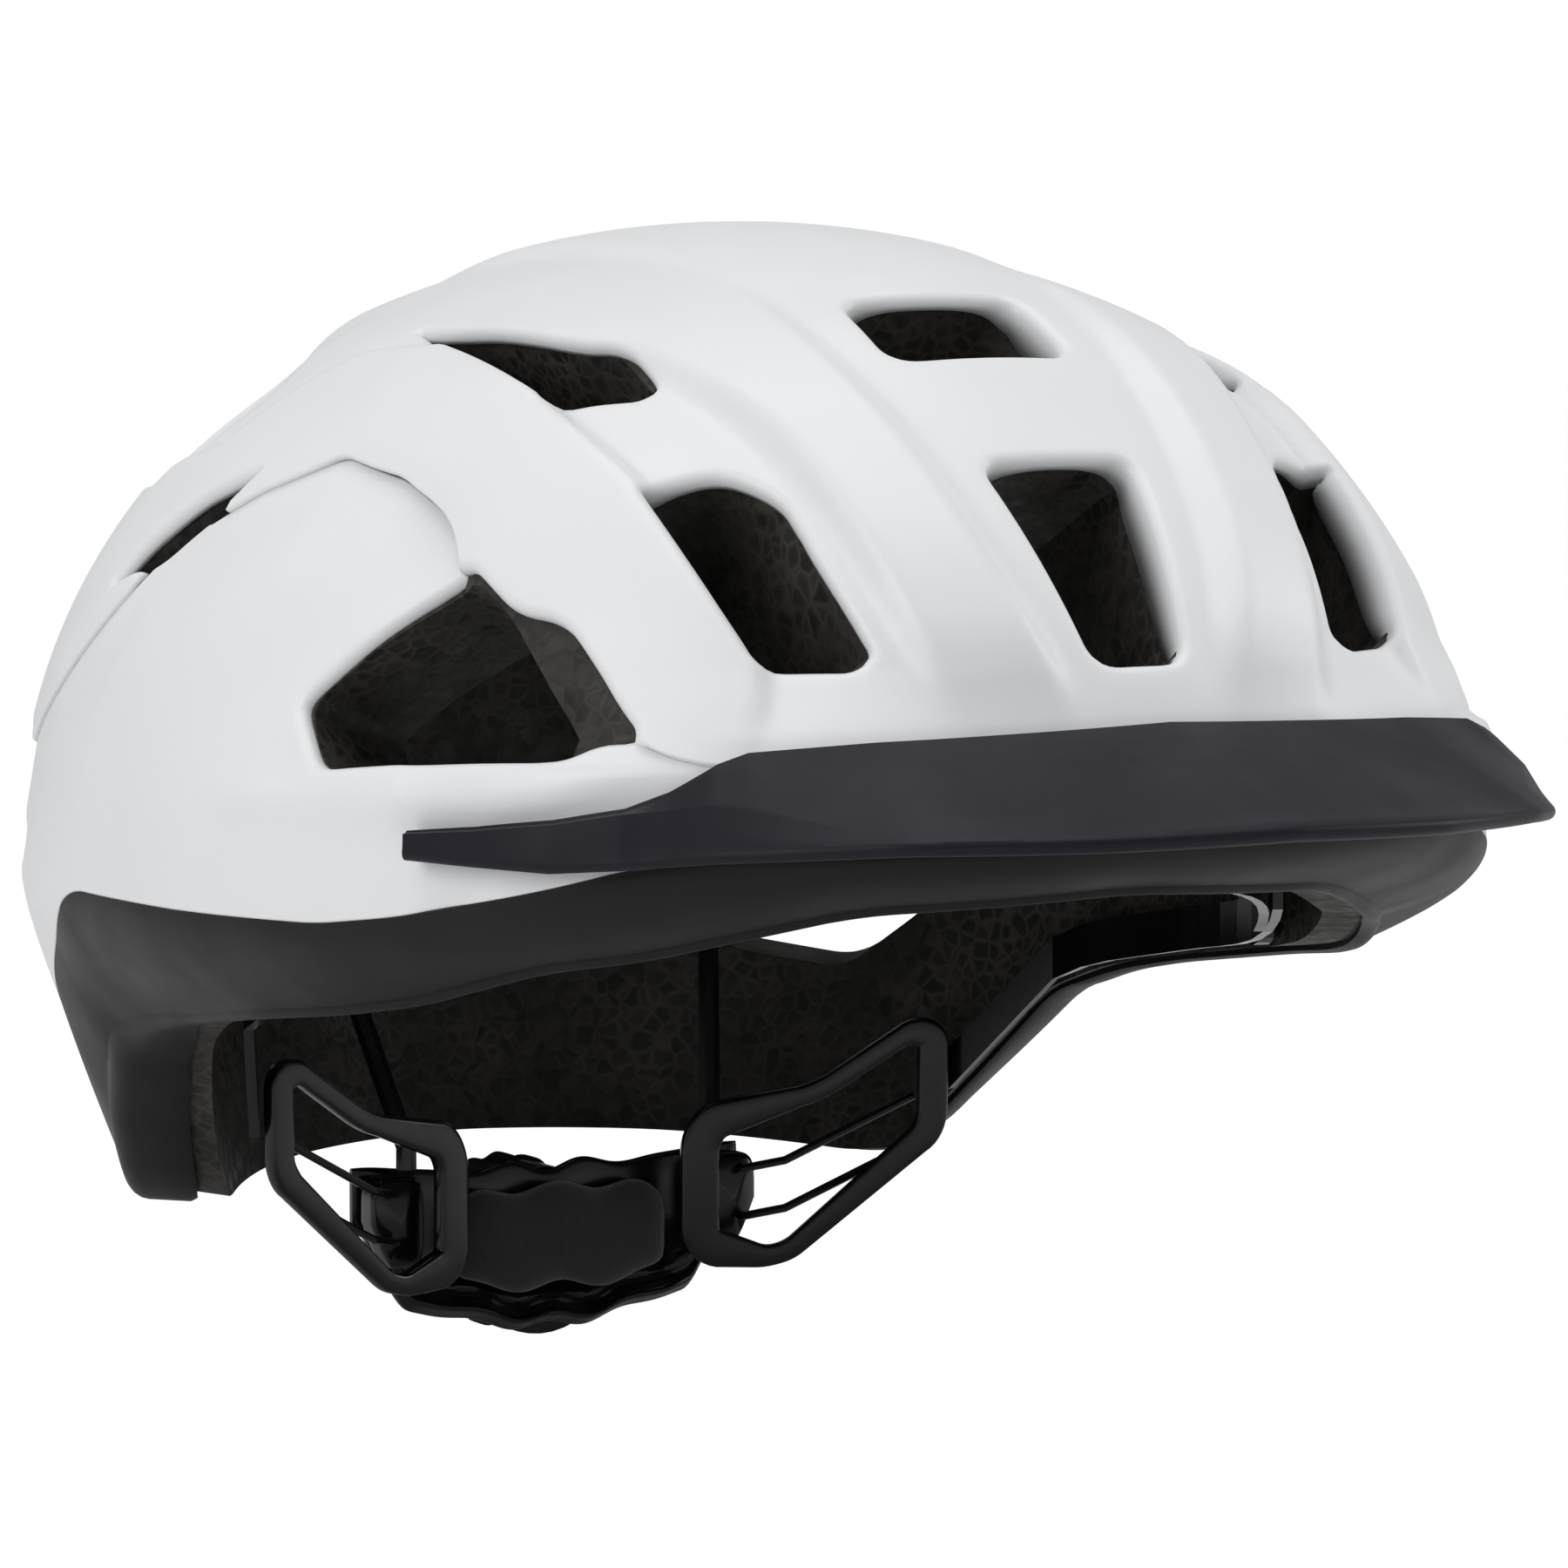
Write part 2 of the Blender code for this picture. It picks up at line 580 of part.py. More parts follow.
upper_layer_mesh = upper_layer("upper_shell", 0.0, UPPER_THICKNESS)
upper_shell = add_part("upper_shell", upper_layer_mesh, WHITE, 0.42, parent=FRAME)
cut(upper_shell, upper_zone, "INTERSECT")
base_shell = skin("base_shell", GREY, 0.55)
cut(base_shell, base_zone, "INTERSECT")
panels = []
for panel_name, panel_wedge in wedges.items():
    panel = skin(panel_name, WHITE, 0.42)
    cut(panel, panel_wedge, "INTERSECT")
    cut(panel, over_upper)
    cut(panel, under_base)
    panels.append(panel)
foam = add_part("eps_liner", bowl("eps_liner", FOAM, CAVITY), BLACK, 0.9, parent=FRAME)
foam_seat = add_tool("foam_seat", upper_layer("foam_seat", -CUT_START, UPPER_THICKNESS + SEAT_GAP),
                     parent=FRAME)
cut(foam_seat, over_upper, "INTERSECT")
cut(foam, foam_seat)
for tool in vent_tools + peg_tools:
    THROUGH_TOOLS.objects.link(tool)
for item in (upper_shell, *panels, foam):
    cut_all(item, THROUGH_TOOLS)


# Visor and the pegs that hold it
def visor_sections():
    """Four corners of the visor at bearings from one tail to the other."""
    sections = []
    for i in range(VISOR_STEPS + 1):
        bearing = VISOR_HALF_ANGLE * (2.0 * i / VISOR_STEPS - 1.0)
        outward = direction(bearing, 0.0)
        upper = SHELL.at_height(bearing, interpolate(VISOR_TOP, bearing) * MM) + outward * VISOR_CLEARANCE
        outer = SHELL.at_height(bearing, interpolate(VISOR_LIP, bearing) * MM)
        outer += outward * interpolate(VISOR_REACH, bearing) * MM
        along = (outer - upper).normalized()
        across = Vector((0.0, 0.0, 1.0)) - along * along.z
        across = across.normalized() if abs(along.z) < 0.9 else outward
        thick = (across + outward * 0.3).normalized() * VISOR_THICKNESS
        sections.append([upper, outer, outer + thick, upper + thick])
    return sections


visor = add_part("visor", loft("visor", visor_sections()), (0.09, 0.095, 0.105), 0.5, parent=FRAME)


def visor_under(x, z):
    """How far forward the visor's underside lies at a side place and a height, read between sections."""
    points = []
    for section in visor_sections():
        share = (section[0].z - z) / (section[0].z - section[1].z)
        points.append(section[0].lerp(section[1], min(max(share, 0.0), 1.0)))
    for first, second in zip(points, points[1:]):
        if first.x <= x <= second.x:
            return first.lerp(second, (x - first.x) / (second.x - first.x)).y
    return points[0].y


for side_name, side_sign in (("left", 1.0), ("right", -1.0)):
    peg_front = visor_under(side_sign * (PEG_SPREAD + PEG_RADIUS), PEG_HEIGHT + PEG_RADIUS)
    peg_length = PEG_DEPTH - (peg_wall + peg_front)
    peg = cylinder("visor_peg_" + side_name, PEG_RADIUS, peg_length, (0.0, 1.0, 0.0), 16)
    peg_middle = peg_front + CONTACT_GAP + peg_length / 2.0
    add_part("visor_peg_" + side_name, peg, GREY, 0.5,
             (side_sign * PEG_SPREAD, peg_middle, PEG_HEIGHT), FRAME)


# Cradle on the dial's axis, in world places
DIAL_Z = DIAL_RADIUS
CARRIER_FACE = CARRIER_Y + CARRIER_THICKNESS
HOUSING_START = CARRIER_FACE + CONTACT_GAP
HOUSING_END = HOUSING_START + HOUSING_DEPTH
DIAL_START = HOUSING_END + CONTACT_GAP
ALONG_Y = (0.0, 1.0, 0.0)

carrier_size = (2.0 * CARRIER_HALF_WIDTH, CARRIER_THICKNESS, CARRIER_TOP - CARRIER_BOTTOM)
add_part("nape_carrier", block("nape_carrier", carrier_size, CARRIER_THICKNESS / 3.0), BLACK, 0.35,
         (0.0, CARRIER_Y + CARRIER_THICKNESS / 2.0, (CARRIER_TOP + CARRIER_BOTTOM) / 2.0))

housing = add_part("adjuster_housing", cylinder("adjuster_housing", HOUSING_RADIUS, HOUSING_DEPTH,
                                                ALONG_Y, 40), BLACK, 0.4,
                   (0.0, HOUSING_START + HOUSING_DEPTH / 2.0, DIAL_Z))
spool_bore = add_tool("spool_bore", cylinder("spool_bore", SPOOL_RADIUS + SPOOL_CLEARANCE,
                                             HOUSING_DEPTH * 2.0, ALONG_Y),
                      (0.0, HOUSING_END + CONTACT_GAP * 5.0, DIAL_Z))
cut(housing, spool_bore)
spool_start = HOUSING_END + CONTACT_GAP * 5.0 - HOUSING_DEPTH + SPOOL_CLEARANCE
spool_length = HOUSING_END - spool_start
add_part("lace_spool", cylinder("lace_spool", SPOOL_RADIUS, spool_length, ALONG_Y),
         (0.5, 0.5, 0.5), 0.4, (0.0, spool_start + spool_length / 2.0, DIAL_Z))


def ridged_circle(radius, depth, ridges):
    """Closed wavy circle: each ridge has four points."""
    count = ridges * 4
    points = []
    for i in range(count):
        angle = 2.0 * math.pi * i / count
        wave = radius - depth * (1.0 - math.cos(ridges * angle)) / 2.0
        points.append((wave * math.sin(angle), wave * math.cos(angle)))
    return points


def circle(radius, count=32):
    return [(radius * math.sin(2.0 * math.pi * i / count), radius * math.cos(2.0 * math.pi * i / count))
            for i in range(count)]


UPRIGHT = (math.pi / 2.0, 0.0, 0.0)
dial_axis = bpy.data.objects.new("dial_axis", None)
dial_axis.location = (0.0, DIAL_START + DIAL_DEPTH / 2.0, DIAL_Z)
PARTS.objects.link(dial_axis)
grip_mesh = curve_to_mesh_object("dial_grip", flat_outline(
    "dial_grip", ridged_circle(DIAL_RADIUS, DIAL_RIDGE_DEPTH, DIAL_RIDGES), DIAL_DEPTH,
    (circle(DIAL_CORE_RADIUS + CONTACT_GAP),)))
grip = add_part("dial_grip", grip_mesh, (0.02, 0.02, 0.022), 0.7, parent=dial_axis)
grip.rotation_euler = UPRIGHT
core = add_part("dial_core", cylinder("dial_core", DIAL_CORE_RADIUS, DIAL_DEPTH, ALONG_Y, 32), BLACK,
                0.35, parent=dial_axis)
screw_pocket = add_tool("screw_pocket", cylinder("screw_pocket", SCREW_RADIUS + CONTACT_GAP,
                                                 SCREW_DEPTH * 2.0, ALONG_Y),
                        (0.0, DIAL_DEPTH / 2.0, 0.0), dial_axis)
cut(core, screw_pocket)
add_part("dial_screw", cylinder("dial_screw", SCREW_RADIUS, SCREW_DEPTH - CONTACT_GAP, ALONG_Y),
         (0.6, 0.6, 0.6), 0.3, (0.0, DIAL_DEPTH / 2.0 - (SCREW_DEPTH - CONTACT_GAP) / 2.0, 0.0),
         dial_axis, 1.0)


def cushion(name, half_size, colour):
    """Pad with a crowned face and drawn-in edges, from a coarse cage."""
    bm = bmesh.new()
    bmesh.ops.create_grid(bm, x_segments=6, y_segments=3, size=1.0)
    made = bmesh.ops.extrude_face_region(bm, geom=bm.faces[:])
    raised = [v for v in made["geom"] if isinstance(v, bmesh.types.BMVert)]
    for vert in bm.verts:
        crown = (1.0 - vert.co.x ** 4) * (1.0 - 0.6 * vert.co.y ** 4)
        depth = -half_size[1] * (0.35 + 0.65 * crown) if vert in raised else half_size[1]
        vert.co = (vert.co.x * half_size[0], depth, vert.co.y * half_size[2])
    data = to_mesh(name, bm)
    item = add_part(name, data, colour, 0.85)
    rounding = item.modifiers.new("rounding", "SUBSURF")
    rounding.levels = 2
    rounding.render_levels = 2
    return item


nape_pad = cushion("nape_pad", (PAD_HALF_WIDTH, PAD_THICKNESS / 2.0, PAD_HALF_HEIGHT), BLACK)
PAD_Z = CARRIER_BOTTOM + PAD_HALF_HEIGHT
nape_pad.location = (0.0, CARRIER_Y - CONTACT_GAP - PAD_THICKNESS / 2.0, PAD_Z)

GUIDE_X = CARRIER_HALF_WIDTH - GUIDE_WIDTH / 2.0
GUIDE_END = CARRIER_Y - CONTACT_GAP
GUIDE_START = GUIDE_END - GUIDE_DEPTH
GUIDE_Z = (CARRIER_TOP + CARRIER_BOTTOM) / 2.0 + GUIDE_CORNER * 2.0
BRACKET_Y = GUIDE_START - CONTACT_GAP - BRACKET_THICKNESS
BRACKET_SLOPE = BRACKET_FORWARD / (BRACKET_OUTER_X - BRACKET_INNER_X)


def bracket_back(x):
    """How far back the bracket's rear face lies at a side place."""
    return BRACKET_Y - (x - BRACKET_INNER_X) * BRACKET_SLOPE + BRACKET_THICKNESS


def mirrored(points, side):
    return [Vector((x * side, y, z)) for x, y, z in points]


def cavity_wall_y(x, z):
    """How far back the cavity's rear wall lies at a side place and a world height."""
    spread = CAVITY.spread(z - EQUATOR_Z)
    share = abs(x) / (CAVITY_HALF_WIDTH * spread)
    return CENTRE.y + CAVITY_REAR * spread * (1.0 - share ** PLAN_POWER) ** (1.0 / PLAN_POWER)


def post_y(z):
    return GUIDE_START + GUIDE_DEPTH / 2.0 + (z - GUIDE_Z) * POST_LEAN


for side_name, side_sign in (("left", 1.0), ("right", -1.0)):
    guide = add_part("lace_guide_" + side_name,
                     block("lace_guide_" + side_name, (GUIDE_WIDTH, GUIDE_DEPTH, GUIDE_HEIGHT),
                           GUIDE_CORNER), BLACK, 0.35,
                     (side_sign * GUIDE_X, GUIDE_START + GUIDE_DEPTH / 2.0, GUIDE_Z))
    for number, level in enumerate(LACE_LEVELS):
        name = "lace_bore_%s_%d" % (side_name, number)
        bore = add_tool(name, cylinder(name, LACE_RADIUS + LACE_CLEARANCE, GUIDE_DEPTH * 3.0, ALONG_Y, 12),
                        (side_sign * GUIDE_X, GUIDE_START, level))
        cut(guide, bore)
        lace_end = BRACKET_OUTER_X - 6.0 * LACE_RADIUS
        middle_x = (GUIDE_X + CARRIER_HALF_WIDTH) / 2.0 + LACE_RADIUS * 4.0
        off = LACE_RADIUS + CONTACT_GAP
        route = [(GUIDE_X, GUIDE_END - GUIDE_CORNER, level), (GUIDE_X, GUIDE_START - off, level),
                 (middle_x, bracket_back(middle_x) + off * 2.0, level + LACE_RADIUS * 2.0),
                 (lace_end, bracket_back(lace_end) + off, level + GUIDE_WIDTH)]
        lace = curve_to_mesh_object("lace", tube("lace", mirrored(route, side_sign), LACE_RADIUS))
        add_part("lace_%s_%s" % (("lower", "upper")[number], side_name), lace, (0.03, 0.03, 0.03), 0.4)

    foot = (GUIDE_X - GUIDE_WIDTH / 3.0, post_y(GUIDE_Z), GUIDE_Z + GUIDE_HEIGHT / 2.0 + CONTACT_GAP)
    knee = (foot[0], foot[1], foot[2] + POST_RADIUS * 2.0)
    bend = (POST_SPREAD, post_y(foot[2] + POST_SPREAD), foot[2] + POST_SPREAD)
    top = (POST_SPREAD, post_y(POST_TOP), POST_TOP)
    post_path = mirrored((foot, knee, bend, top), side_sign)
    post = curve_to_mesh_object("post", tube("post", post_path, POST_RADIUS))
    add_part("height_post_" + side_name, post, BLACK, 0.35)

    hole_y = post_y(ANCHOR_LEVEL)
    reach = POST_RADIUS + ANCHOR_CLEARANCE
    anchor_front = hole_y - reach * 2.0 - ANCHOR_HEIGHT * POST_LEAN / 2.0
    anchor_side = POST_SPREAD + ANCHOR_HALF_WIDTH
    anchor_back = min(cavity_wall_y(anchor_side, ANCHOR_LEVEL + side * ANCHOR_HEIGHT / 2.0)
                      for side in (-1.0, 1.0)) - WALL_GAP
    anchor = add_part("post_anchor_" + side_name,
                      block("post_anchor_" + side_name, (2.0 * ANCHOR_HALF_WIDTH, anchor_back - anchor_front,
                                                         ANCHOR_HEIGHT)), BLACK, 0.4,
                      (side_sign * POST_SPREAD, (anchor_front + anchor_back) / 2.0, ANCHOR_LEVEL))
    slide = Vector((0.0, POST_LEAN, 1.0)).normalized()
    hole_name = "post_hole_" + side_name
    hole = add_tool(hole_name, cylinder(hole_name, reach, ANCHOR_HEIGHT * 3.0, slide, 12),
                    (side_sign * POST_SPREAD, hole_y, ANCHOR_LEVEL))
    cut(anchor, hole)

    outline = [(u * MM * side_sign, v * MM) for u, v in BRACKET_OUTLINE]
    slot = [(u * MM * side_sign, v * MM) for u, v in BRACKET_SLOT]
    bracket_curve = flat_outline("bracket", outline, BRACKET_THICKNESS, (slot,))
    bracket = add_part("bracket_" + side_name, curve_to_mesh_object("bracket", bracket_curve), BLACK, 0.35,
                       (side_sign * BRACKET_INNER_X, BRACKET_Y + BRACKET_THICKNESS / 2.0, 0.0))
    bracket.rotation_euler = (math.pi / 2.0, 0.0, -side_sign * math.atan(BRACKET_SLOPE))


def ribbon(name, points, height):
    """Upright band along a list of middle points, with its thickness square to the path in plan."""
    sections = []
    for i, point in enumerate(points):
        before = points[max(i - 1, 0)]
        after = points[min(i + 1, len(points) - 1)]
        along = Vector((after.x - before.x, after.y - before.y, 0.0)).normalized()
        outward = Vector((along.y, -along.x, 0.0)) * (BAND_THICKNESS / 2.0)
        lift = Vector((0.0, 0.0, height / 2.0))
        sections.append([point - outward - lift, point + outward - lift,
                         point + outward + lift, point - outward + lift])
    return loft(name, sections)


# Halo band in front, and arms from its ends back to the brackets
BAND = CAVITY.inset(BAND_INSET)
band_points = []
for i in range(BAND_STEPS + 1):
    bearing = -BAND_END_BEARING + 2.0 * BAND_END_BEARING * i / BAND_STEPS
    fall = BAND_FALL * (bearing / BAND_END_BEARING) ** 2
    x, y = BAND.plan(bearing, 1.0)
    band_points.append(Vector((x, y, BAND_RISE - fall)))
add_part("halo_front_band", ribbon("halo_front_band", band_points, BAND_HEIGHT), BLACK, 0.25, parent=FRAME)

for side_name, side_sign in (("left", 1.0), ("right", -1.0)):
    outward = direction(BAND_ANCHOR_BEARING * side_sign, 0.0)
    wall_x, wall_y = CAVITY.plan(BAND_ANCHOR_BEARING * side_sign, 1.0)
    band_x, band_y = BAND.plan(BAND_ANCHOR_BEARING * side_sign, 1.0)
    gap_width = math.hypot(wall_x - band_x, wall_y - band_y)
    plug_length = gap_width - BAND_THICKNESS - CONTACT_GAP - WALL_GAP * 2.0
    band_level = BAND_RISE - BAND_FALL * (BAND_ANCHOR_BEARING / BAND_END_BEARING) ** 2
    plug_start = BAND_THICKNESS + CONTACT_GAP
    plug_middle = Vector((band_x, band_y, band_level)) + outward * (plug_start + plug_length / 2.0)
    name = "band_anchor_" + side_name
    add_part(name, cylinder(name, BAND_ANCHOR_RADIUS, plug_length, outward, 20), BLACK, 0.4, plug_middle,
             FRAME)

ARM = BAND.inset(-BAND_THICKNESS - ARM_GAP)
arm_start = Vector((BRACKET_OUTER_X + BAND_THICKNESS,
                    bracket_back(BRACKET_OUTER_X) - BRACKET_THICKNESS / 2.0, BRACKET_OUTLINE[3][1] * MM
                    + ARM_HEIGHT * 1.5))
for side_name, side_sign in (("left", 1.0), ("right", -1.0)):
    points = []
    for i in range(ARM_STEPS + 1):
        share = i / ARM_STEPS
        bearing = ARM_START_BEARING + (ARM_END_BEARING - ARM_START_BEARING) * share
        x, y = ARM.plan(bearing, 1.0)
        level = EQUATOR_Z + interpolate(RIM, bearing) * MM + ARM_OVER_RIM
        points.append(Vector((x * side_sign, y + CENTRE.y, level)))
    points.append(Vector((arm_start.x * side_sign, arm_start.y + BAND_THICKNESS, arm_start.z)))
    arm = ribbon("halo_arm_" + side_name, points, ARM_HEIGHT)
    add_part("halo_arm_" + side_name, arm, BLACK, 0.3)


# Soft pads and strap anchors on the cavity wall
brow_form = CAVITY.inset(WALL_GAP)
brow_inner = brow_form.inset(BROW_PAD_THICKNESS)
brow_sections = []
for i in range(BROW_PAD_STEPS + 1):
    bearing = -BROW_PAD_BEARING + 2.0 * BROW_PAD_BEARING * i / BROW_PAD_STEPS
    low = interpolate(RIM, bearing) * MM + BAND_HEIGHT
    corners = []
    for form, level in ((brow_form, low), (brow_inner, low), (brow_inner, low + BROW_PAD_HEIGHT),
                        (brow_form, low + BROW_PAD_HEIGHT)):
        corners.append(form.at_height(bearing, level))
    brow_sections.append(corners)
add_part("brow_pad", loft("brow_pad", brow_sections), (0.03, 0.03, 0.032), 0.95, parent=FRAME)

for side_name, side_sign in (("left", 1.0), ("right", -1.0)):
    half_x, half_y, half_z = CROWN_PAD_HALF_SIZE
    corner = CAVITY.height_over(CROWN_PAD_SPREAD + half_x - CROWN_PAD_CORNER, CROWN_PAD_CORNER - half_y)
    crown_z = corner - half_z - WALL_GAP
    add_part("crown_pad_" + side_name,
             block("crown_pad_" + side_name, (2.0 * half_x, 2.0 * half_y, 2.0 * half_z), CROWN_PAD_CORNER),
             (0.03, 0.03, 0.032), 0.95, (side_sign * CROWN_PAD_SPREAD, 0.0, crown_z), FRAME)
    for place, bearing in STRAP_ANCHOR_BEARINGS.items():
        level = -STRAP_ANCHOR_DROP
        wall = CAVITY.at_height(bearing, level)
        beyond = CAVITY.at_height(bearing + 2.0, level) - CAVITY.at_height(bearing - 2.0, level)
        inward = Vector((-beyond.y, beyond.x, 0.0)).normalized()
        sag = STRAP_ANCHOR_RADIUS ** 2 / CAVITY_HALF_WIDTH
        middle = wall + inward * (STRAP_ANCHOR_DEPTH / 2.0 + WALL_GAP + sag)
        name = "strap_anchor_%s_%s" % (place, side_name)
        add_part(name, cylinder(name, STRAP_ANCHOR_RADIUS, STRAP_ANCHOR_DEPTH,
                                (inward.x * side_sign, inward.y, 0.0)), BLACK, 0.4,
                 (middle.x * side_sign, middle.y, middle.z), FRAME)
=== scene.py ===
"""Vented bicycle helmet with a clip-on visor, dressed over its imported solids.

Shapes are worked out in millimetres, with x to the wearer's left, y to the rear and z up: the shell's
from its centre, the cradle's and the crown pads' from the middle of the floor.  A place on the shell
is a bearing, the angle round the head from the front, and a rise, the angle above the shell's widest
level.  Vents and joints are signed distances on the shell, and the grids are cut along their zero
lines.
"""
import json
import math
from collections import namedtuple

import bpy
import numpy as np
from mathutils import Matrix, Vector


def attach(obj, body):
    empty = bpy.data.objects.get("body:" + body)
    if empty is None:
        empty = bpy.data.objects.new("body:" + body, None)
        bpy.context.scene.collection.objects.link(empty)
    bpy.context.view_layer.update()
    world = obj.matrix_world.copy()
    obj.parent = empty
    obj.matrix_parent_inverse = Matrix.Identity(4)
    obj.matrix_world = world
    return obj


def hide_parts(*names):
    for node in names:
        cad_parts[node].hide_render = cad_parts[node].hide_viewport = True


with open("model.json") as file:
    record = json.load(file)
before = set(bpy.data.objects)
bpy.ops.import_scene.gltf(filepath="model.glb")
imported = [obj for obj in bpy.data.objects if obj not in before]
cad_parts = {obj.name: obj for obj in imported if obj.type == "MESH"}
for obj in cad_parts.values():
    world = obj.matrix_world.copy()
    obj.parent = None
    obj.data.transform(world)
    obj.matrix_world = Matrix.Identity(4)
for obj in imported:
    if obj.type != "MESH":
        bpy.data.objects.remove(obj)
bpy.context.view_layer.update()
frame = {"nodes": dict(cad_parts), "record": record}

# Shell and cavity in millimetres from the centre; the taper is the share lost down the skirt
Form = namedtuple("Form", "half_width front rear height taper")
SHELL = Form(105.0, 132.0, 147.0, 102.0, 0.165)
CAVITY = Form(82.0, 103.0, 117.0, 74.0, 0.10)
PLAN_POWER = 2.13
PROFILE_POWER = 2.04
SKIRT_DEPTH = 57.5
SKIRT_POWER = 1.25
EQUATOR = 85.0
VISOR_LIP_LEVEL = 20.0
VISOR_REACH_FRONT = 33.0
RIM_SOFT = 2.5
LOW_RISE = 9.0
WALL_ROUNDS = 24

# Lines round the shell by bearing: heights and depths in millimetres, joints as a rise in degrees
RIM = ((0, 8.3), (20, 6), (36, -1.5), (45, -4.1), (58, -10.5), (68, -13.2), (80, -15.5), (100, -20),
       (108, -22.5), (117, -27.5), (126, -41), (135, -55), (140, -57), (160, -55), (180, -54))
TUCK = ((0, 17.5), (20, 19), (36, 20.5), (45, 20.5), (58, 16.5), (68, 13), (80, 10.5), (100, 11),
        (117, 12), (126, 7), (135, 2.5), (145, 0), (180, 0))
TUCK_START = ((0, 17), (30, 15.5), (44, 9.5), (55, 5), (63, 3), (83, 1.5), (104, 0), (180, 0))
UPPER_JOINT = ((0, 13), (30, 13), (34.5, 14.2), (36.2, 15.5), (40, 17.5), (48, 19), (52, 26),
               (54, 31), (56, 33.5), (59, 35.5), (66, 38.8), (79, 41.6), (92, 37.5), (105, 30.6),
               (117, 19.5), (123, 14.7), (132, 9.4), (150, 6), (180, 5))
BASE_JOINT = ((0, 7.6), (30, 7.2), (36, 6.4), (44, 4.6), (55, 2.5), (63, 1.5), (83, 0.9),
              (104, 0.5), (108, -0.6), (112, -2.6), (118, -5.2), (130, -10.2), (138, -14), (150, -15),
              (180, -15))
REAR_PANEL_BEARING = 119.0
JOINT_GAP = 0.35

# Vents as bearing and rise, with the corner radius in millimetres
SIDE_VENTS = {
    "front_side": (((38, 35), (30.5, 36.4), (25.6, 33.7), (22.8, 27.8), (19.4, 20.6), (20.8, 19.7),
                    (27.3, 19.9), (30, 24)), 4.0),
    "mid": (((98, 57.8), (75, 58.2), (52, 53.4), (45, 52.2), (38.5, 46.6), (40, 45.6), (51, 45.4),
             (63, 50.7), (77, 54.4)), 4.0),
    "temple": (((69.6, 18.6), (52.8, 29.6), (47, 25), (42.3, 24), (35.5, 15.2), (38.5, 15.3),
                (41.7, 13.7), (64.4, 13.2)), 4.0),
    "rear_side": (((116, 24.6), (113, 28.8), (105, 35.2), (94, 39.6), (97, 36.6), (106, 29.5)), 4.0),
    "rear_upper": (((118, 46), (140, 50), (150, 40), (142, 30), (128, 32)), 6.0),
    "rear_low": (((123, 3), (150, 4.5), (158, -1), (153, -10.4), (142.5, -12.4), (134, -7.5)), 4.0),
}
MIDDLE_VENTS = {
    "centre": (((-7.5, 36), (7.5, 36), (3.6, 19.3), (-3.4, 19.3)), 3.5),
    "top": (((-15, 57.5), (15, 57.5), (11.6, 48), (-11.6, 48)), 5.0),
    "rear_middle": (((168, 38), (192, 38), (187, 20), (173, 20)), 5.0),
}
VENT_CHART_RADIUS = 115.0
VENT_CHART_COSINE = 0.8
FAR_FROM_VENT = 60.0
LIP_RADIUS = 1.8
LIP_DEPTH = 0.8
JOINT_LIP_RADIUS = 0.45
JOINT_LIP_DEPTH = 0.8
SIDE_WALL = 4.5
SIDE_WALL_REAR = 20.0
SKIN = 1.2

MM = 0.001
X_AXIS, Y_AXIS, Z_AXIS = np.eye(3)
SIDES = (("left", 1.0), ("right", -1.0))


# Formulas of the shell
def table(rows, angle):
    """Value of a table at an angle, the same on both sides."""
    angle = np.abs((np.asarray(angle, float) + 180.0) % 360.0 - 180.0)
    return np.interp(angle, [r[0] for r in rows], [r[1] for r in rows])


def soft_table(rows, angle, width=1.6):
    """Table value averaged over a short span, which rounds its corners."""
    return sum(table(rows, angle + width * k) for k in (-1.0, -0.5, 0.0, 0.5, 1.0)) / 5.0


def spread(form, z):
    """Share of the widest section at a height: a superellipse above, a power taper below."""
    up = np.clip(z / form.height, 0.0, 1.0)
    above = (1.0 - up ** PROFILE_POWER) ** (1.0 / PROFILE_POWER)
    below = 1.0 - form.taper * (np.maximum(-z, 0.0) / SKIRT_DEPTH) ** SKIRT_POWER
    return np.where(z >= 0.0, above, below)


def plan_reach(form, bearing):
    """Radius of the widest section at a bearing: a superellipse with a longer rear half."""
    angle = np.radians(bearing)
    length = np.where(np.cos(angle) > 0.0, form.front, form.rear)
    across = np.abs(np.sin(angle) / form.half_width) ** PLAN_POWER
    ahead = np.abs(np.cos(angle) / length) ** PLAN_POWER
    return (across + ahead) ** (-1.0 / PLAN_POWER)


def tuck(bearing, z):
    """How far the wall draws in below its start: the square of the share of the way down to the edge."""
    start = soft_table(TUCK_START, bearing)
    share = np.clip((start - z) / (start - soft_table(RIM, bearing, RIM_SOFT)), 0.0, 1.0)
    return soft_table(TUCK, bearing) * share ** 2


def at_height(form, bearing, z):
    """Point of a form at a bearing and a height; the shell's wall is tucked in at its foot."""
    reach = plan_reach(form, bearing) * spread(form, z)
    if form is SHELL:
        reach = reach - tuck(bearing, z)
    angle = np.radians(bearing)
    z = np.broadcast_to(z, reach.shape)
    return np.stack((np.sin(angle) * reach, -np.cos(angle) * reach, z), axis=-1)


def direction(bearing, rise):
    """Unit vector of a bearing and a rise."""
    a, e = np.broadcast_arrays(np.radians(bearing), np.radians(rise))
    return np.stack((np.sin(a) * np.cos(e), -np.cos(a) * np.cos(e), np.sin(e)), axis=-1)


def bearing_rise(d):
    """Bearing and rise of unit vectors, in degrees."""
    bearing = np.degrees(np.arctan2(d[..., 0], -d[..., 1]))
    rise = np.degrees(np.arcsin(np.clip(d[..., 2], -1.0, 1.0)))
    return bearing, rise


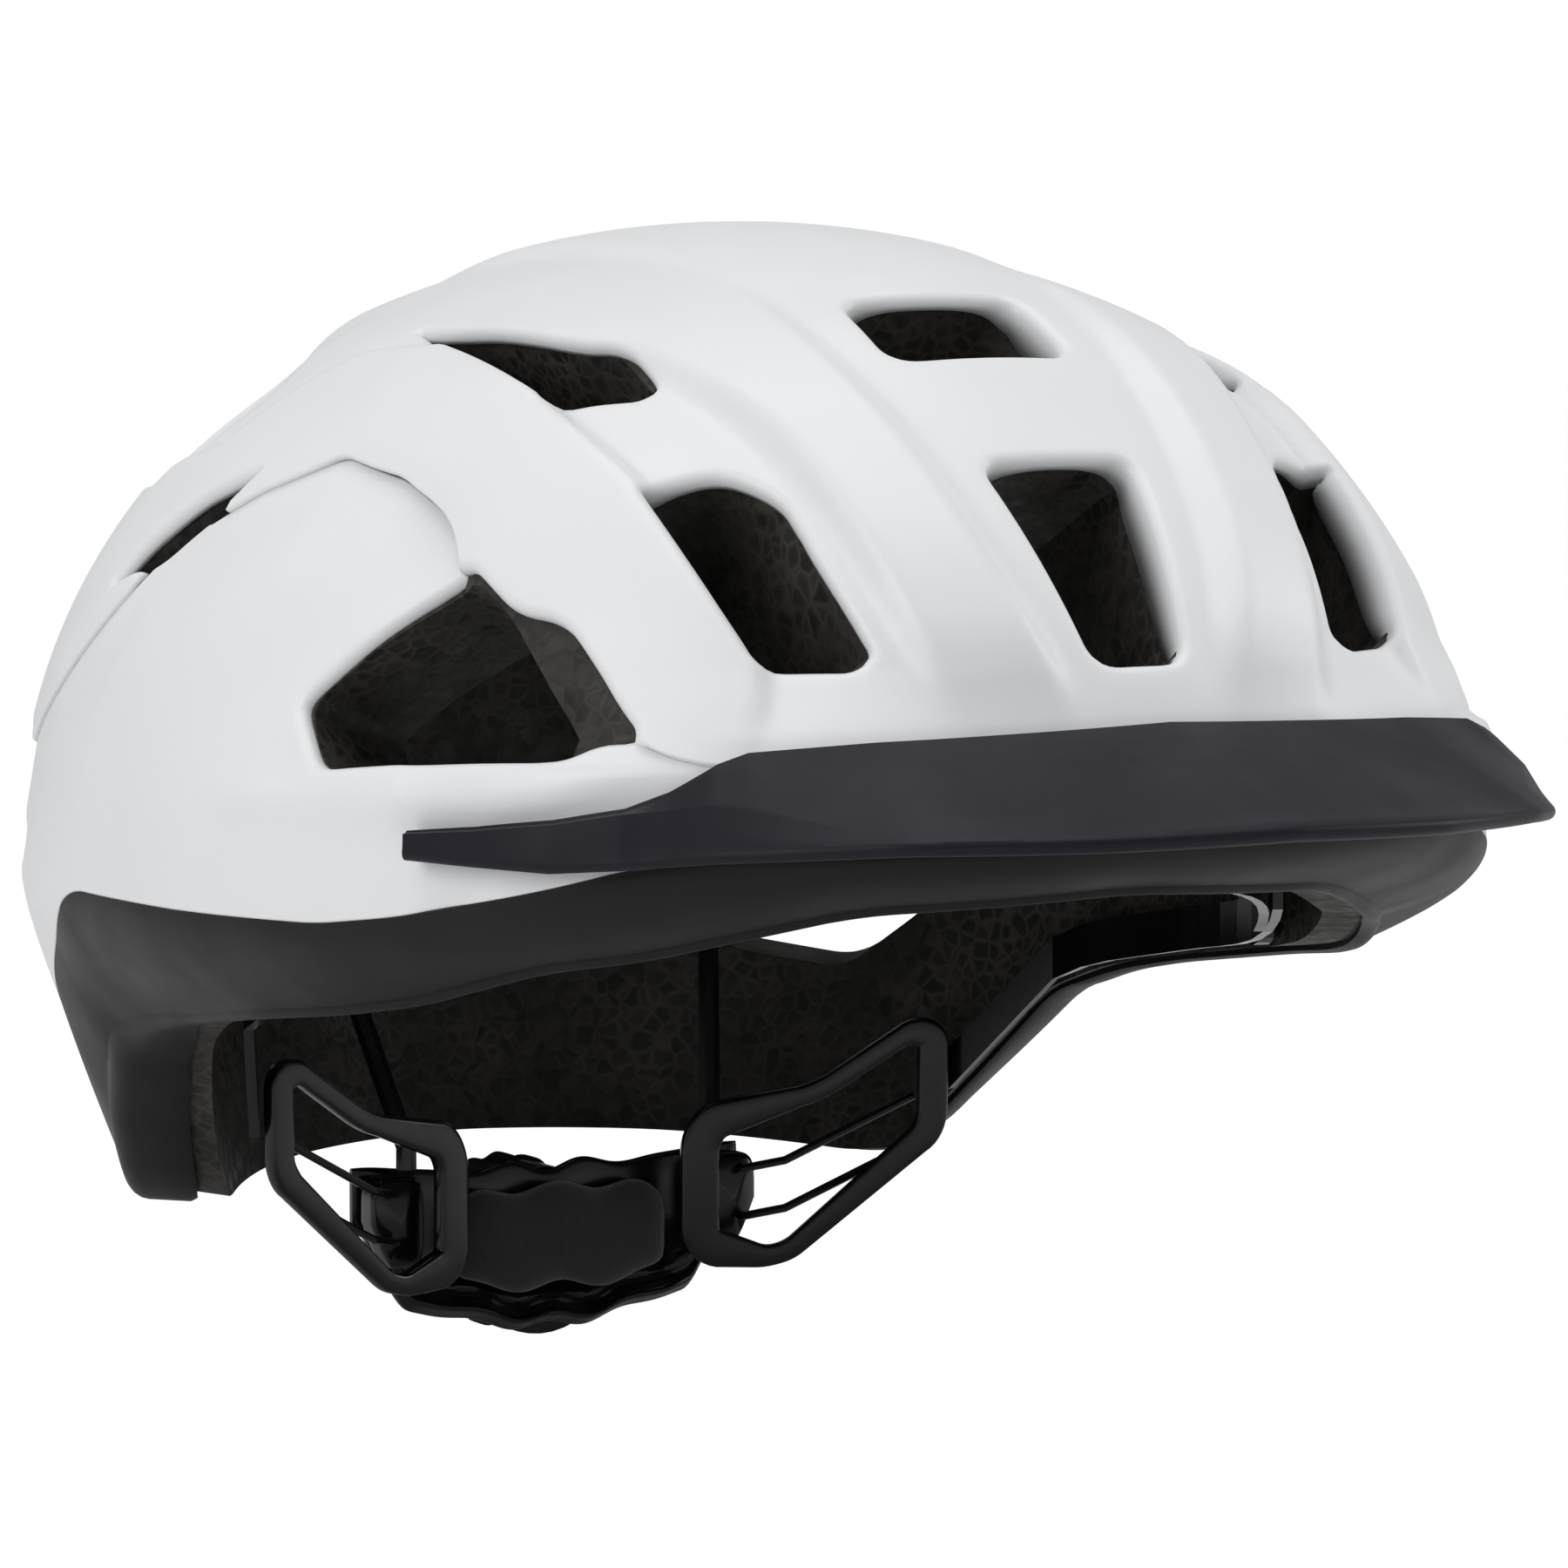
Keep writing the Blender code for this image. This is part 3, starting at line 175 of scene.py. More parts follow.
def radius_along(form, d):
    """Distance from the centre to a form along unit vectors.

    High up the form is homogeneous, so the distance is one over its gauge; low down the wall's
    height and reach are iterated until they agree.
    """
    bearing, rise = bearing_rise(d)
    reach = plan_reach(form, bearing)
    level = np.maximum(np.hypot(d[..., 0], d[..., 1]), 1e-6)
    gauge = (level / reach) ** PROFILE_POWER + (np.abs(d[..., 2]) / form.height) ** PROFILE_POWER
    distance = gauge ** (-1.0 / PROFILE_POWER)
    wall = distance
    for _ in range(WALL_ROUNDS):
        height = wall * d[..., 2]
        drawn_in = tuck(bearing, height) if form is SHELL else 0.0
        wall = (reach * spread(form, height) - drawn_in) / level
    return np.where(rise < LOW_RISE, wall, distance)


def unit(vectors):
    """Vectors at length one."""
    return vectors / np.maximum(np.linalg.norm(vectors, axis=-1, keepdims=True), 1e-12)


def smooth(value, low, high):
    """Smooth step from 0 at low to 1 at high."""
    t = np.clip((value - low) / (high - low), 0.0, 1.0)
    return t * t * (3.0 - 2.0 * t)


def joint_distance(rows, bearing, rise):
    """Millimetres above a joint line, from the rise over it and the line's slope."""
    line = soft_table(rows, bearing)
    slope = (soft_table(rows, bearing + 0.5) - soft_table(rows, bearing - 0.5)) / np.cos(np.radians(rise))
    return np.radians(rise - line) * VENT_CHART_RADIUS / np.sqrt(1.0 + slope ** 2)


# Vent outlines as signed distances
def rounded_outline(points, radius, steps=6):
    """Closed outline whose corners are quadratic arcs that start a radius away from each corner."""
    points = np.asarray(points, float)
    pieces = []
    for before, corner, after in zip(np.roll(points, 1, 0), points, np.roll(points, -1, 0)):
        to_before, to_after = before - corner, after - corner
        lengths = np.hypot(*to_before), np.hypot(*to_after)
        cut = min(radius, 0.45 * min(lengths))
        first = corner + to_before / lengths[0] * cut
        last = corner + to_after / lengths[1] * cut
        t = np.linspace(0.0, 1.0, steps)[:, None]
        pieces.append((1 - t) ** 2 * first + 2 * t * (1 - t) * corner + t ** 2 * last)
    return np.concatenate(pieces)


def polygon_distance(points, outline):
    """Signed distance to a closed outline, negative inside, over whole arrays of points."""
    start, end = outline, np.roll(outline, -1, 0)
    best = np.full(len(points), np.inf)
    inside = np.zeros(len(points), bool)
    for (ax, ay), (bx, by) in zip(start, end):
        ex, ey = bx - ax, by - ay
        wx, wy = points[:, 0] - ax, points[:, 1] - ay
        t = np.clip((wx * ex + wy * ey) / (ex * ex + ey * ey + 1e-12), 0.0, 1.0)
        best = np.minimum(best, (wx - ex * t) ** 2 + (wy - ey * t) ** 2)
        crosses = (ay > points[:, 1]) != (by > points[:, 1])
        inside ^= crosses & (wx < ex * wy / (ey if ey else 1e-12))
    return np.where(inside, -1.0, 1.0) * np.sqrt(best)


class Vent:
    """An outline on a flat chart that touches the shell at the vent's middle."""

    def __init__(self, outline, corner, side=1.0):
        d = np.array([direction(b * side, r) for b, r in outline])
        self.axis = unit(d.mean(0))
        self.right = unit(np.cross(Z_AXIS, self.axis))
        self.up = np.cross(self.axis, self.right)
        self.outline = rounded_outline(self.chart(d), corner)

    def chart(self, d):
        """Central projection of unit vectors to the chart, in millimetres."""
        q = d / (d @ self.axis)[:, None]
        return np.stack((q @ self.right, q @ self.up), axis=-1) * VENT_CHART_RADIUS

    def distance(self, d):
        """Signed distance of unit vectors to the outline; those off the chart count as far away."""
        flat = d.reshape(-1, 3)
        result = np.full(len(flat), FAR_FROM_VENT)
        near = flat @ self.axis > VENT_CHART_COSINE
        result[near] = polygon_distance(self.chart(flat[near]), self.outline)
        return result.reshape(d.shape[:-1])


VENTS = {name: [Vent(*vent)] for name, vent in MIDDLE_VENTS.items()}
VENTS.update({name: [Vent(*vent), Vent(*vent, -1.0)] for name, vent in SIDE_VENTS.items()})
OPENINGS = tuple(VENTS)


def vent_distance(d, names=None):
    """Distance to the nearest vent, negative inside it."""
    return np.min([v.distance(d) for name in (names or OPENINGS) for v in VENTS[name]], axis=0)


# Meshes
visor_front = float(at_height(SHELL, np.array(0.0), np.array(VISOR_LIP_LEVEL))[1]) - VISOR_REACH_FRONT
CENTRE = np.array((0.0, (-visor_front - SHELL.rear) / 2.0, EQUATOR))


def make_piece(name, points, faces, material, body, replaced, sharp=None, local=True):
    """Mesh from an array of points in millimetres and arrays of faces with equal corner counts."""
    points = np.asarray(points, float) + (CENTRE if local else 0.0)
    mesh = bpy.data.meshes.new(name)
    corners = np.concatenate([f.ravel() for f in faces]).astype(np.int32)
    totals = np.concatenate([np.full(len(f), f.shape[1]) for f in faces]).astype(np.int32)
    starts = np.concatenate(([0], np.cumsum(totals)[:-1])).astype(np.int32)
    mesh.vertices.add(len(points))
    mesh.vertices.foreach_set("co", (points * MM).astype(np.float32).ravel())
    mesh.loops.add(len(corners))
    mesh.loops.foreach_set("vertex_index", corners)
    mesh.polygons.add(len(totals))
    mesh.polygons.foreach_set("loop_start", starts)
    mesh.update(calc_edges=True)
    mesh.validate()
    mesh.shade_smooth()
    if sharp:
        mesh.set_sharp_from_angle(angle=math.radians(sharp))
    mesh.materials.append(material)
    item = bpy.data.objects.new(name, mesh)
    bpy.context.scene.collection.objects.link(item)
    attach(item, body)
    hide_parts(*replaced)
    return item


def snap_grid(u, v, field):
    """Grid whose nearest vertices are moved along their edges onto the field's zero line."""
    grid_u, grid_v = np.meshgrid(u, v, indexing="ij")
    value = field(grid_u, grid_v)
    steps = (u[1] - u[0], v[1] - v[0])
    best = np.full(value.shape, 0.500001)
    move = [np.zeros(value.shape), np.zeros(value.shape)]
    for axis in (0, 1):
        low = [slice(None), slice(None)]
        high = [slice(None), slice(None)]
        low[axis] = slice(0, -1)
        high[axis] = slice(1, None)
        for here, there, sign in ((tuple(low), tuple(high), 1.0), (tuple(high), tuple(low), -1.0)):
            a, b = value[here], value[there]
            share = np.where(a * b < 0.0, a / np.where(a == b, 1.0, a - b), 1.0)
            closer = share < best[here]
            best[here] = np.where(closer, share, best[here])
            move[axis][here] = np.where(closer, sign * share * steps[axis], move[axis][here])
            move[1 - axis][here] = np.where(closer, 0.0, move[1 - axis][here])
    moved = best < 0.5
    value = np.where(moved, 0.0, value)
    return grid_u + move[0] * moved, grid_v + move[1] * moved, value


def grid_faces(value):
    """Quads of a grid with no corner below zero, and triangles where one corner is cut off."""
    index = np.arange(value.size).reshape(value.shape)
    ring = [index[:-1, :-1], index[1:, :-1], index[1:, 1:], index[:-1, 1:]]
    quads = np.stack([r.ravel() for r in ring], axis=1)
    cut = value.ravel()[quads] < -1e-9
    count = cut.sum(1)
    triangles = [np.delete(np.arange(4), k) for k in range(4)]
    corners = [quads[(count == 1) & cut[:, k]][:, triangles[k]] for k in range(4)]
    return quads[count == 0], np.concatenate(corners)


def face_normals(points, faces):
    """Vertex normals as the sum of the face normals round each vertex."""
    normal = np.zeros_like(points)
    for f in faces:
        a, b, c = points[f[:, 0]], points[f[:, 1]], points[f[:, -1]]
        n = np.cross(b - a, c - a)
        for k in range(f.shape[1]):
            np.add.at(normal, f[:, k], n)
    return unit(normal)


def border_edges(faces, count):
    """Directed edges that only one face uses."""
    pairs = np.concatenate([np.stack((f[:, k], f[:, (k + 1) % f.shape[1]]), axis=1)
                            for f in faces for k in range(f.shape[1])])
    keys = pairs[:, 0].astype(np.int64) * count + pairs[:, 1]
    back = pairs[:, 1].astype(np.int64) * count + pairs[:, 0]
    return pairs[~np.isin(keys, back)]


def used_only(points, faces, *extras):
    """The points that faces use, with the faces and further arrays renumbered to match."""
    used = np.unique(np.concatenate([f.ravel() for f in faces]))
    number = np.full(len(points), -1)
    number[used] = np.arange(len(used))
    return (points[used], [number[f] for f in faces], *[e[used] for e in extras])


def even_out(values, pairs, rounds):
    """Vectors or shares averaged with their neighbours along a border; vectors keep unit length."""
    for _ in range(rounds):
        total = 2.0 * values
        np.add.at(total, pairs[:, 0], values[pairs[:, 1]])
        np.add.at(total, pairs[:, 1], values[pairs[:, 0]])
        values = total / 4.0 if values.ndim == 1 else unit(total)
    return values


def strip(before, after):
    """Quads between the edges of a border and the same edges one row on."""
    return np.stack((before[:, 1], before[:, 0], after[:, 0], after[:, 1]), axis=1)


def rolled_skin(points, faces, radius, depth, side_wall, thickness=SKIN, rows=5):
    """Closed skin: an outer sheet, edges that roll into the openings on a quarter circle, and a back.

    Each border vertex rolls towards the opening by its radius, then runs straight in by its depth.
    On the front half, a vent's edge that faces the middle runs further in by the side wall.
    """
    normal = face_normals(points, faces)
    border = border_edges(faces, len(points))
    rim = np.unique(border)
    number = np.full(len(points), -1)
    number[rim] = np.arange(len(rim))
    along = unit(points[border[:, 1]] - points[border[:, 0]])
    outward = np.zeros_like(points)
    for k in (0, 1):
        np.add.at(outward, border[:, k], np.cross(along, normal[border[:, k]]))
    pairs = number[border]
    outward = even_out(unit(outward[rim]), pairs, 4)
    start, n = points[rim], even_out(normal[rim], pairs, 4)
    r = radius[rim][:, None]
    to_middle = np.clip(-outward[:, 0] * np.sign(start[:, 0]), 0.0, 1.0)
    to_middle *= (radius[rim] > JOINT_LIP_RADIUS) & (start[:, 1] < SIDE_WALL_REAR)
    deep = (depth[rim] + side_wall * even_out(smooth(to_middle, 0.3, 0.9), pairs, 30))[:, None]
    turns = np.linspace(0.0, math.pi / 2.0, rows + 1)[1:]
    layers = [start + outward * r * math.sin(t) - n * r * (1.0 - math.cos(t)) for t in turns]
    layers.append(layers[-1] - n * deep)
    back = points - normal * thickness
    all_points = np.concatenate([points, *layers, back])
    back_start = len(points) + len(layers) * len(rim)
    edges = [len(points) + k * len(rim) + pairs for k in range(len(layers))]
    edges = [border, *edges, border + back_start]
    strips = [strip(before, after) for before, after in zip(edges, edges[1:])]
    inner = [f[:, ::-1] + back_start for f in faces]
    return all_points, [*faces, *inner, *strips]


def outward_faces(points, faces):
    """Faces turned so that most of them look away from the centre."""
    f = faces[0]
    a, b, c = points[f[:, 0]], points[f[:, 1]], points[f[:, 2]]
    if (np.cross(b - a, c - a) * a).sum() < 0.0:
        return [g[:, ::-1] for g in faces]
    return faces


# Materials, with texture scales in repeats per metre
BEADS_PER_METRE = 360.0
BEAD_DARK = (0.011, 0.0103, 0.0092)
BEAD_PALE = (0.032, 0.0298, 0.0262)
BEAD_WANDER = 0.0022
WEB_COLOUR = (0.075, 0.069, 0.058, 1.0)
THREADS_PER_METRE = 1300.0
GLOSS_SPREAD = 0.06


def new_material(name):
    material = bpy.data.materials.new(name)
    material.use_nodes = True
    tree = material.node_tree
    return material, tree, tree.nodes["Principled BSDF"]


def link(tree, source, output, target, entry):
    tree.links.new(source.outputs[output], target.inputs[entry])


def noise_node(tree, scale, detail, coordinates):
    node = tree.nodes.new("ShaderNodeTexNoise")
    node.inputs["Scale"].default_value = scale
    node.inputs["Detail"].default_value = detail
    link(tree, coordinates, "Object", node, "Vector")
    return node


def ramp_node(tree, source, *stops):
    """Ramp between two stops, each a position and a colour or a grey value."""
    node = tree.nodes.new("ShaderNodeValToRGB")
    for element, (position, tone) in zip(node.color_ramp.elements, stops):
        element.position = position
        element.color = (*np.broadcast_to(tone, 3), 1.0)
    tree.links.new(source, node.inputs["Fac"])
    return node


def bump_node(tree, shader, source, strength, distance):
    node = tree.nodes.new("ShaderNodeBump")
    node.inputs["Strength"].default_value = strength
    node.inputs["Distance"].default_value = distance
    tree.links.new(source, node.inputs["Height"])
    link(tree, node, "Normal", shader, "Normal")


def moulded(name, colour, roughness, tint=0.06, coat=0.0, specular=0.5):
    """Moulded plastic: faint cloudy tint, uneven gloss and a fine grain."""
    material, tree, shader = new_material(name)
    place = tree.nodes.new("ShaderNodeTexCoord")
    cloud = noise_node(tree, 22.0, 3.0, place)
    dark = tuple(c * (1.0 - tint) for c in colour)
    light = tuple(min(c * (1.0 + tint), 1.0) for c in colour)
    colours = ramp_node(tree, cloud.outputs["Fac"], (0.3, dark), (0.7, light))
    link(tree, colours, "Color", shader, "Base Color")
    smear = noise_node(tree, 60.0, 4.0, place)
    low, high = roughness - GLOSS_SPREAD, roughness + GLOSS_SPREAD
    gloss = ramp_node(tree, smear.outputs["Fac"], (0.3, low), (0.7, high))
    link(tree, gloss, "Color", shader, "Roughness")
    fine = noise_node(tree, 900.0, 2.0, place)
    bump_node(tree, shader, fine.outputs["Fac"], 0.25, 0.00003)
    shader.inputs["Specular IOR Level"].default_value = specular
    shader.inputs["Coat Weight"].default_value = coat
    shader.inputs["Coat Roughness"].default_value = 0.25
    return material


def bead_foam(name):
    """Black bead foam: packed beads, each of its own tone, with paler webs between them."""
    material, tree, shader = new_material(name)
    place = tree.nodes.new("ShaderNodeTexCoord")
    wander = noise_node(tree, 160.0, 2.0, place)
    shift = tree.nodes.new("ShaderNodeVectorMath")
    shift.operation = "MULTIPLY_ADD"
    shift.inputs[1].default_value = (BEAD_WANDER,) * 3
    link(tree, wander, "Color", shift, 0)
    link(tree, place, "Object", shift, 2)
    webs, cells = (tree.nodes.new("ShaderNodeTexVoronoi") for _ in range(2))
    webs.feature = "DISTANCE_TO_EDGE"
    for node in (webs, cells):
        node.inputs["Scale"].default_value = BEADS_PER_METRE
        link(tree, shift, "Vector", node, "Vector")
    tone = ramp_node(tree, cells.outputs["Color"], (0.1, BEAD_DARK), (0.9, BEAD_PALE))
    web = ramp_node(tree, webs.outputs["Distance"], (0.0, 1.0), (0.2, 0.0))
    patch = noise_node(tree, 45.0, 3.0, place)
    strength = ramp_node(tree, patch.outputs["Fac"], (0.36, 0.12), (0.64, 0.8))
    amount = tree.nodes.new("ShaderNodeMath")
    amount.operation = "MULTIPLY"
    link(tree, web, "Color", amount, 0)
    link(tree, strength, "Color", amount, 1)
    blend = tree.nodes.new("ShaderNodeMix")
    blend.data_type = "RGBA"
    link(tree, amount, "Value", blend, "Factor")
    link(tree, tone, "Color", blend, "A")
    blend.inputs["B"].default_value = WEB_COLOUR
    link(tree, blend, "Result", shader, "Base Color")
    gloss = ramp_node(tree, cells.outputs["Distance"], (0.1, 0.5), (0.7, 0.75))
    link(tree, gloss, "Color", shader, "Roughness")
    shader.inputs["Specular IOR Level"].default_value = 0.3
    seams = ramp_node(tree, webs.outputs["Distance"], (0.0, 0.0), (0.3, 1.0))
    bump_node(tree, shader, seams.outputs["Color"], 0.3, 0.0002)
    return material


def knit(name, colour):
    """Brushed pad fabric: fine crossing threads with a soft sheen."""
    material, tree, shader = new_material(name)
    place = tree.nodes.new("ShaderNodeTexCoord")
    cloud = noise_node(tree, 70.0, 4.0, place)
    dark = tuple(0.7 * c for c in colour)
    colours = ramp_node(tree, cloud.outputs["Fac"], (0.3, dark), (0.7, colour))
    link(tree, colours, "Color", shader, "Base Color")
    shader.inputs["Roughness"].default_value = 0.9
    shader.inputs["Sheen Weight"].default_value = 0.35
    threads = tree.nodes.new("ShaderNodeTexWave")
    threads.inputs["Scale"].default_value = THREADS_PER_METRE
    threads.inputs["Distortion"].default_value = 1.5
    link(tree, place, "Object", threads, "Vector")
    bump_node(tree, shader, threads.outputs["Fac"], 0.4, 0.0002)
    return material


WHITE_SHELL = moulded("white_shell", (0.77, 0.78, 0.79), 0.42, coat=0.06, tint=0.012)
BASE_GREY = moulded("base_grey", (0.009, 0.009, 0.0094), 0.5, tint=0.10, specular=0.2)
VISOR_GREY = moulded("visor_grey", (0.0066, 0.0068, 0.0125), 0.46, tint=0.08, specular=0.18)
NYLON = moulded("black_nylon", (0.003, 0.003, 0.0033), 0.22, tint=0.2, specular=0.4)
RUBBER = moulded("grip_rubber", (0.006, 0.006, 0.0065), 0.62, tint=0.2, specular=0.35)
FOAM = bead_foam("bead_foam")
PAD_CLOTH = knit("pad_cloth", (0.009, 0.009, 0.0095))
STEEL = moulded("screw_steel", (0.55, 0.55, 0.56), 0.3)
STEEL.node_tree.nodes["Principled BSDF"].inputs["Metallic"].default_value = 1.0


# Upper shell: lines and depths of its channels by the angle from the front over the crown
CENTRE_LINE = ((0, 5), (10, 5), (17.5, 5.8), (28, 8.9), (40, 11.1), (52, 13), (70, 14.5), (90, 15),
               (120, 14), (150, 10.5), (180, 8))
CENTRE_RISE = ((0, 0), (45, 0), (55, 0.8), (110, 0.8), (150, 0), (180, 0))
RIB_RISE = ((0, 0), (16, 0), (21, 3.4), (30, 4.2), (45, 3.6), (60, 2), (72, 0.2), (85, -1.2),
            (110, -1.2), (135, 1.4), (160, 1), (170, 0), (180, 0))
INNER_LINE = ((0, 13.5), (14, 13.5), (21, 15.4), (28, 17), (35, 18.4), (45, 20.8), (52, 23.2),
              (60, 25.2), (70, 29.4), (80, 31.2), (98, 32), (115, 24), (135, 19), (160, 14), (180, 13))
OUTER_LINE = ((0, 27.5), (14, 27.5), (21, 24.8), (28, 26.5), (35, 28.3), (42, 29.8), (50, 31.8),
              (60, 33.4), (70, 34.2), (80, 34.5), (98, 36), (115, 45), (135, 40), (160, 25), (180, 24))
SIDE_RISE = ((0, 0), (20, 0), (60, -0.6), (80, -1.4), (98, -1), (115, -1.4), (140, -1.4), (160, 0),
             (180, 0))
FLANK_RISE = ((0, 0), (16, 0), (21, 2.6), (30, 3.6), (50, 3.6), (70, 2.6), (90, 0.8), (105, 0), (180, 0))
HALF_CHANNEL_RAMP = 1.3
HALF_CREST_RAMP = 0.85
FLANK_END = 50.0
FLARE = ((0, 0), (10, 1), (20, 3.6), (30, 5.4), (44, 4.6), (56, 2), (66, 0), (180, 0))
FLARE_START = 20.0
FLARE_SPAN = 7.0
FLARE_POWER = 1.4
FLARE_FADE = (7.5, 13.0)
EDGE_DROP = 0.6


def flare(bearing, rise):
    """How far the front corners of the skin stand out over the dome: grows below a rise, and fades out
    again under the visor."""
    grown = np.clip((FLARE_START - rise) / FLARE_SPAN, 0.0, 1.0) ** FLARE_POWER
    return soft_table(FLARE, bearing, 4.0) * grown * smooth(rise, *FLARE_FADE)


def upper_rise(alpha, beta):
    """Rise of the upper shell over the dome, from the middle outwards: a floor, a rib, a channel and
    a flank that fades towards the side panel, with smooth ramps between them."""
    side = np.abs(beta)
    middle, inner, outer = (soft_table(rows, alpha, 3.0) for rows in (CENTRE_LINE, INNER_LINE, OUTER_LINE))
    tables = (CENTRE_RISE, RIB_RISE, SIDE_RISE, FLANK_RISE)
    centre, rib, channel, flank = (soft_table(rows, alpha, 2.0) for rows in tables)
    on_rib = smooth(side, middle - HALF_CHANNEL_RAMP, middle + HALF_CHANNEL_RAMP)
    in_channel = smooth(side, inner - HALF_CHANNEL_RAMP, inner + HALF_CHANNEL_RAMP)
    on_flank = smooth(side, outer - HALF_CREST_RAMP, outer + HALF_CREST_RAMP)
    flank = flank * (1.0 - 0.9 * np.clip((side - outer) / (FLANK_END - outer), 0.0, 1.0))
    rise = centre + (rib - centre) * on_rib
    rise = rise + (channel - rise) * in_channel
    return rise + (flank - rise) * on_flank


def sagittal(alpha, beta):
    """Unit vector of an angle from the front over the crown and an angle to the side."""
    a, b = np.radians(alpha), np.radians(beta)
    return np.stack((np.sin(b), -np.cos(b) * np.cos(a), np.cos(b) * np.sin(a)), axis=-1)


def upper_field(alpha, beta):
    """Distance inside the upper shell's edges, negative in its vents and beyond its joint."""
    d = sagittal(alpha, beta)
    bearing, rise = bearing_rise(d)
    joint = joint_distance(UPPER_JOINT, bearing, rise) - JOINT_GAP / 2.0
    return np.minimum(vent_distance(d) - LIP_RADIUS, joint)


def skin_piece(name, d, value, relief, joints):
    """Rolled skin over trimmed directions; joints gives the distance to its joint lines."""
    faces = grid_faces(value)
    points = (d * (radius_along(SHELL, d) - relief)[..., None]).reshape(-1, 3)
    at_joint = (joints < vent_distance(d) - LIP_RADIUS + 0.2).ravel()
    points, faces, at_joint = used_only(points, faces, at_joint)
    faces = outward_faces(points, faces)
    radius = np.where(at_joint, JOINT_LIP_RADIUS, LIP_RADIUS)
    depth = np.where(at_joint, JOINT_LIP_DEPTH, LIP_DEPTH)
    side_wall = SIDE_WALL if name.startswith("upper") else 0.0
    points, faces = rolled_skin(points, faces, radius, depth, side_wall)
    node = name.replace("_skin", "")
    make_piece(name, points, faces, WHITE_SHELL, "helmet", (node,))


STEP = 0.58
over_crown, to_side = np.arange(8.0, 178.0, STEP), np.linspace(-63.0, 63.0, 218)
alpha, beta, upper_value = snap_grid(over_crown, to_side, upper_field)
upper_d = sagittal(alpha, beta)
upper_joint = joint_distance(UPPER_JOINT, *bearing_rise(upper_d))
edge_drop = EDGE_DROP * (1.0 - smooth(upper_joint, 0.0, 4.0))
upper_relief = edge_drop - upper_rise(alpha, beta) - flare(*bearing_rise(upper_d))
skin_piece("upper_shell_skin", upper_d, upper_value, upper_relief, upper_joint)


# Side and rear panels: places as bearing and rise, depths in millimetres
JOINT_DIP = 1.6
HOLLOW_PLACE = (72.0, 22.0)
HOLLOW_SLANT = (0.78, 0.62)
HOLLOW_SIZE = (17.0, 7.0)
HOLLOW_DEPTH = 2.6
LEDGE_RISE = 10.6
LEDGE_WIDTH = 2.0
LEDGE_HEIGHT = 1.1
SEAM_ANGLE = 0.09


def panel_relief(bearing, rise):
    """Panels lie lower along the upper joint, with a hollow behind the temple vent and a ledge under it."""
    over = -joint_distance(UPPER_JOINT, bearing, rise)
    depth = JOINT_DIP * (1.0 - smooth(over, 4.0, 26.0))
    side = np.abs(bearing)
    east, north = side - HOLLOW_PLACE[0], rise - HOLLOW_PLACE[1]
    along = (east * HOLLOW_SLANT[0] - north * HOLLOW_SLANT[1]) / HOLLOW_SIZE[0]
    across = (east * HOLLOW_SLANT[1] + north * HOLLOW_SLANT[0]) / HOLLOW_SIZE[1]
    depth += HOLLOW_DEPTH * np.exp(-along ** 2 - across ** 2)
    ledge = np.exp(-((rise - LEDGE_RISE) / LEDGE_WIDTH) ** 2)
    ledge = ledge * smooth(side, 34, 44) * (1.0 - smooth(side, 70, 84))
    return depth - LEDGE_HEIGHT * ledge - flare(bearing, rise)


def panel_joints(bearing, rise):
    """Distance inside a panel's upper and lower joints."""
    over = joint_distance(BASE_JOINT, bearing, rise)
    return np.minimum(-joint_distance(UPPER_JOINT, bearing, rise), over)


def panel_field(bearing, rise):
    """Distance inside a panel's edges, negative in its vents and beyond its joints."""
    vents = vent_distance(direction(bearing, rise)) - LIP_RADIUS
    return np.minimum(vents, panel_joints(bearing, rise) - JOINT_GAP / 2.0)


def panel_piece(name, first, last):
    """Skin between two bearings, from the base joint up to the upper joint."""
    count = int(round((last - first) / STEP)) + 1
    across, upward = np.linspace(first, last, count), np.arange(-19.0, 44.0, STEP)
    bearing, rise, value = snap_grid(across, upward, panel_field)
    edge = np.minimum(np.abs(bearing - first), np.abs(last - bearing)) * 2.0
    joints = np.minimum(panel_joints(bearing, rise), edge)
    skin_piece(name, direction(bearing, rise), value, panel_relief(bearing, rise), joints)


panel_piece("side_panel_left_skin", SEAM_ANGLE, REAR_PANEL_BEARING - SEAM_ANGLE)
panel_piece("side_panel_right_skin", -REAR_PANEL_BEARING + SEAM_ANGLE, -SEAM_ANGLE)
panel_piece("rear_panel_skin", REAR_PANEL_BEARING + SEAM_ANGLE, 360.0 - REAR_PANEL_BEARING - SEAM_ANGLE)


# Pieces carried along a line
def carried(name, sections, closed, material, body, replaced, sharp=35.0, local=True):
    """Skin over sections of equal counts; each section is a closed loop of points."""
    count, ring = sections.shape[:2]
    index = np.arange(count * ring).reshape(count, ring)
    ahead = np.roll(index, -1, 0) if closed else index[1:]
    here = index if closed else index[:-1]
    quads = np.stack((here, np.roll(here, -1, 1), np.roll(ahead, -1, 1), ahead), axis=-1).reshape(-1, 4)
    faces = [quads]
    points = sections.reshape(-1, 3)
    if not closed:
        faces += [index[0][None, ::-1], index[-1][None, :]]
    a, b, c = points[quads[:, 0]], points[quads[:, 1]], points[quads[:, 2]]
    middle = sections.mean(1)[np.repeat(np.arange(len(here)), ring)]
    if (np.cross(b - a, c - a) * (a - middle)).sum() < 0.0:
        faces = [f[:, ::-1] for f in faces]
    return make_piece(name, points, faces, material, body, replaced, sharp, local)


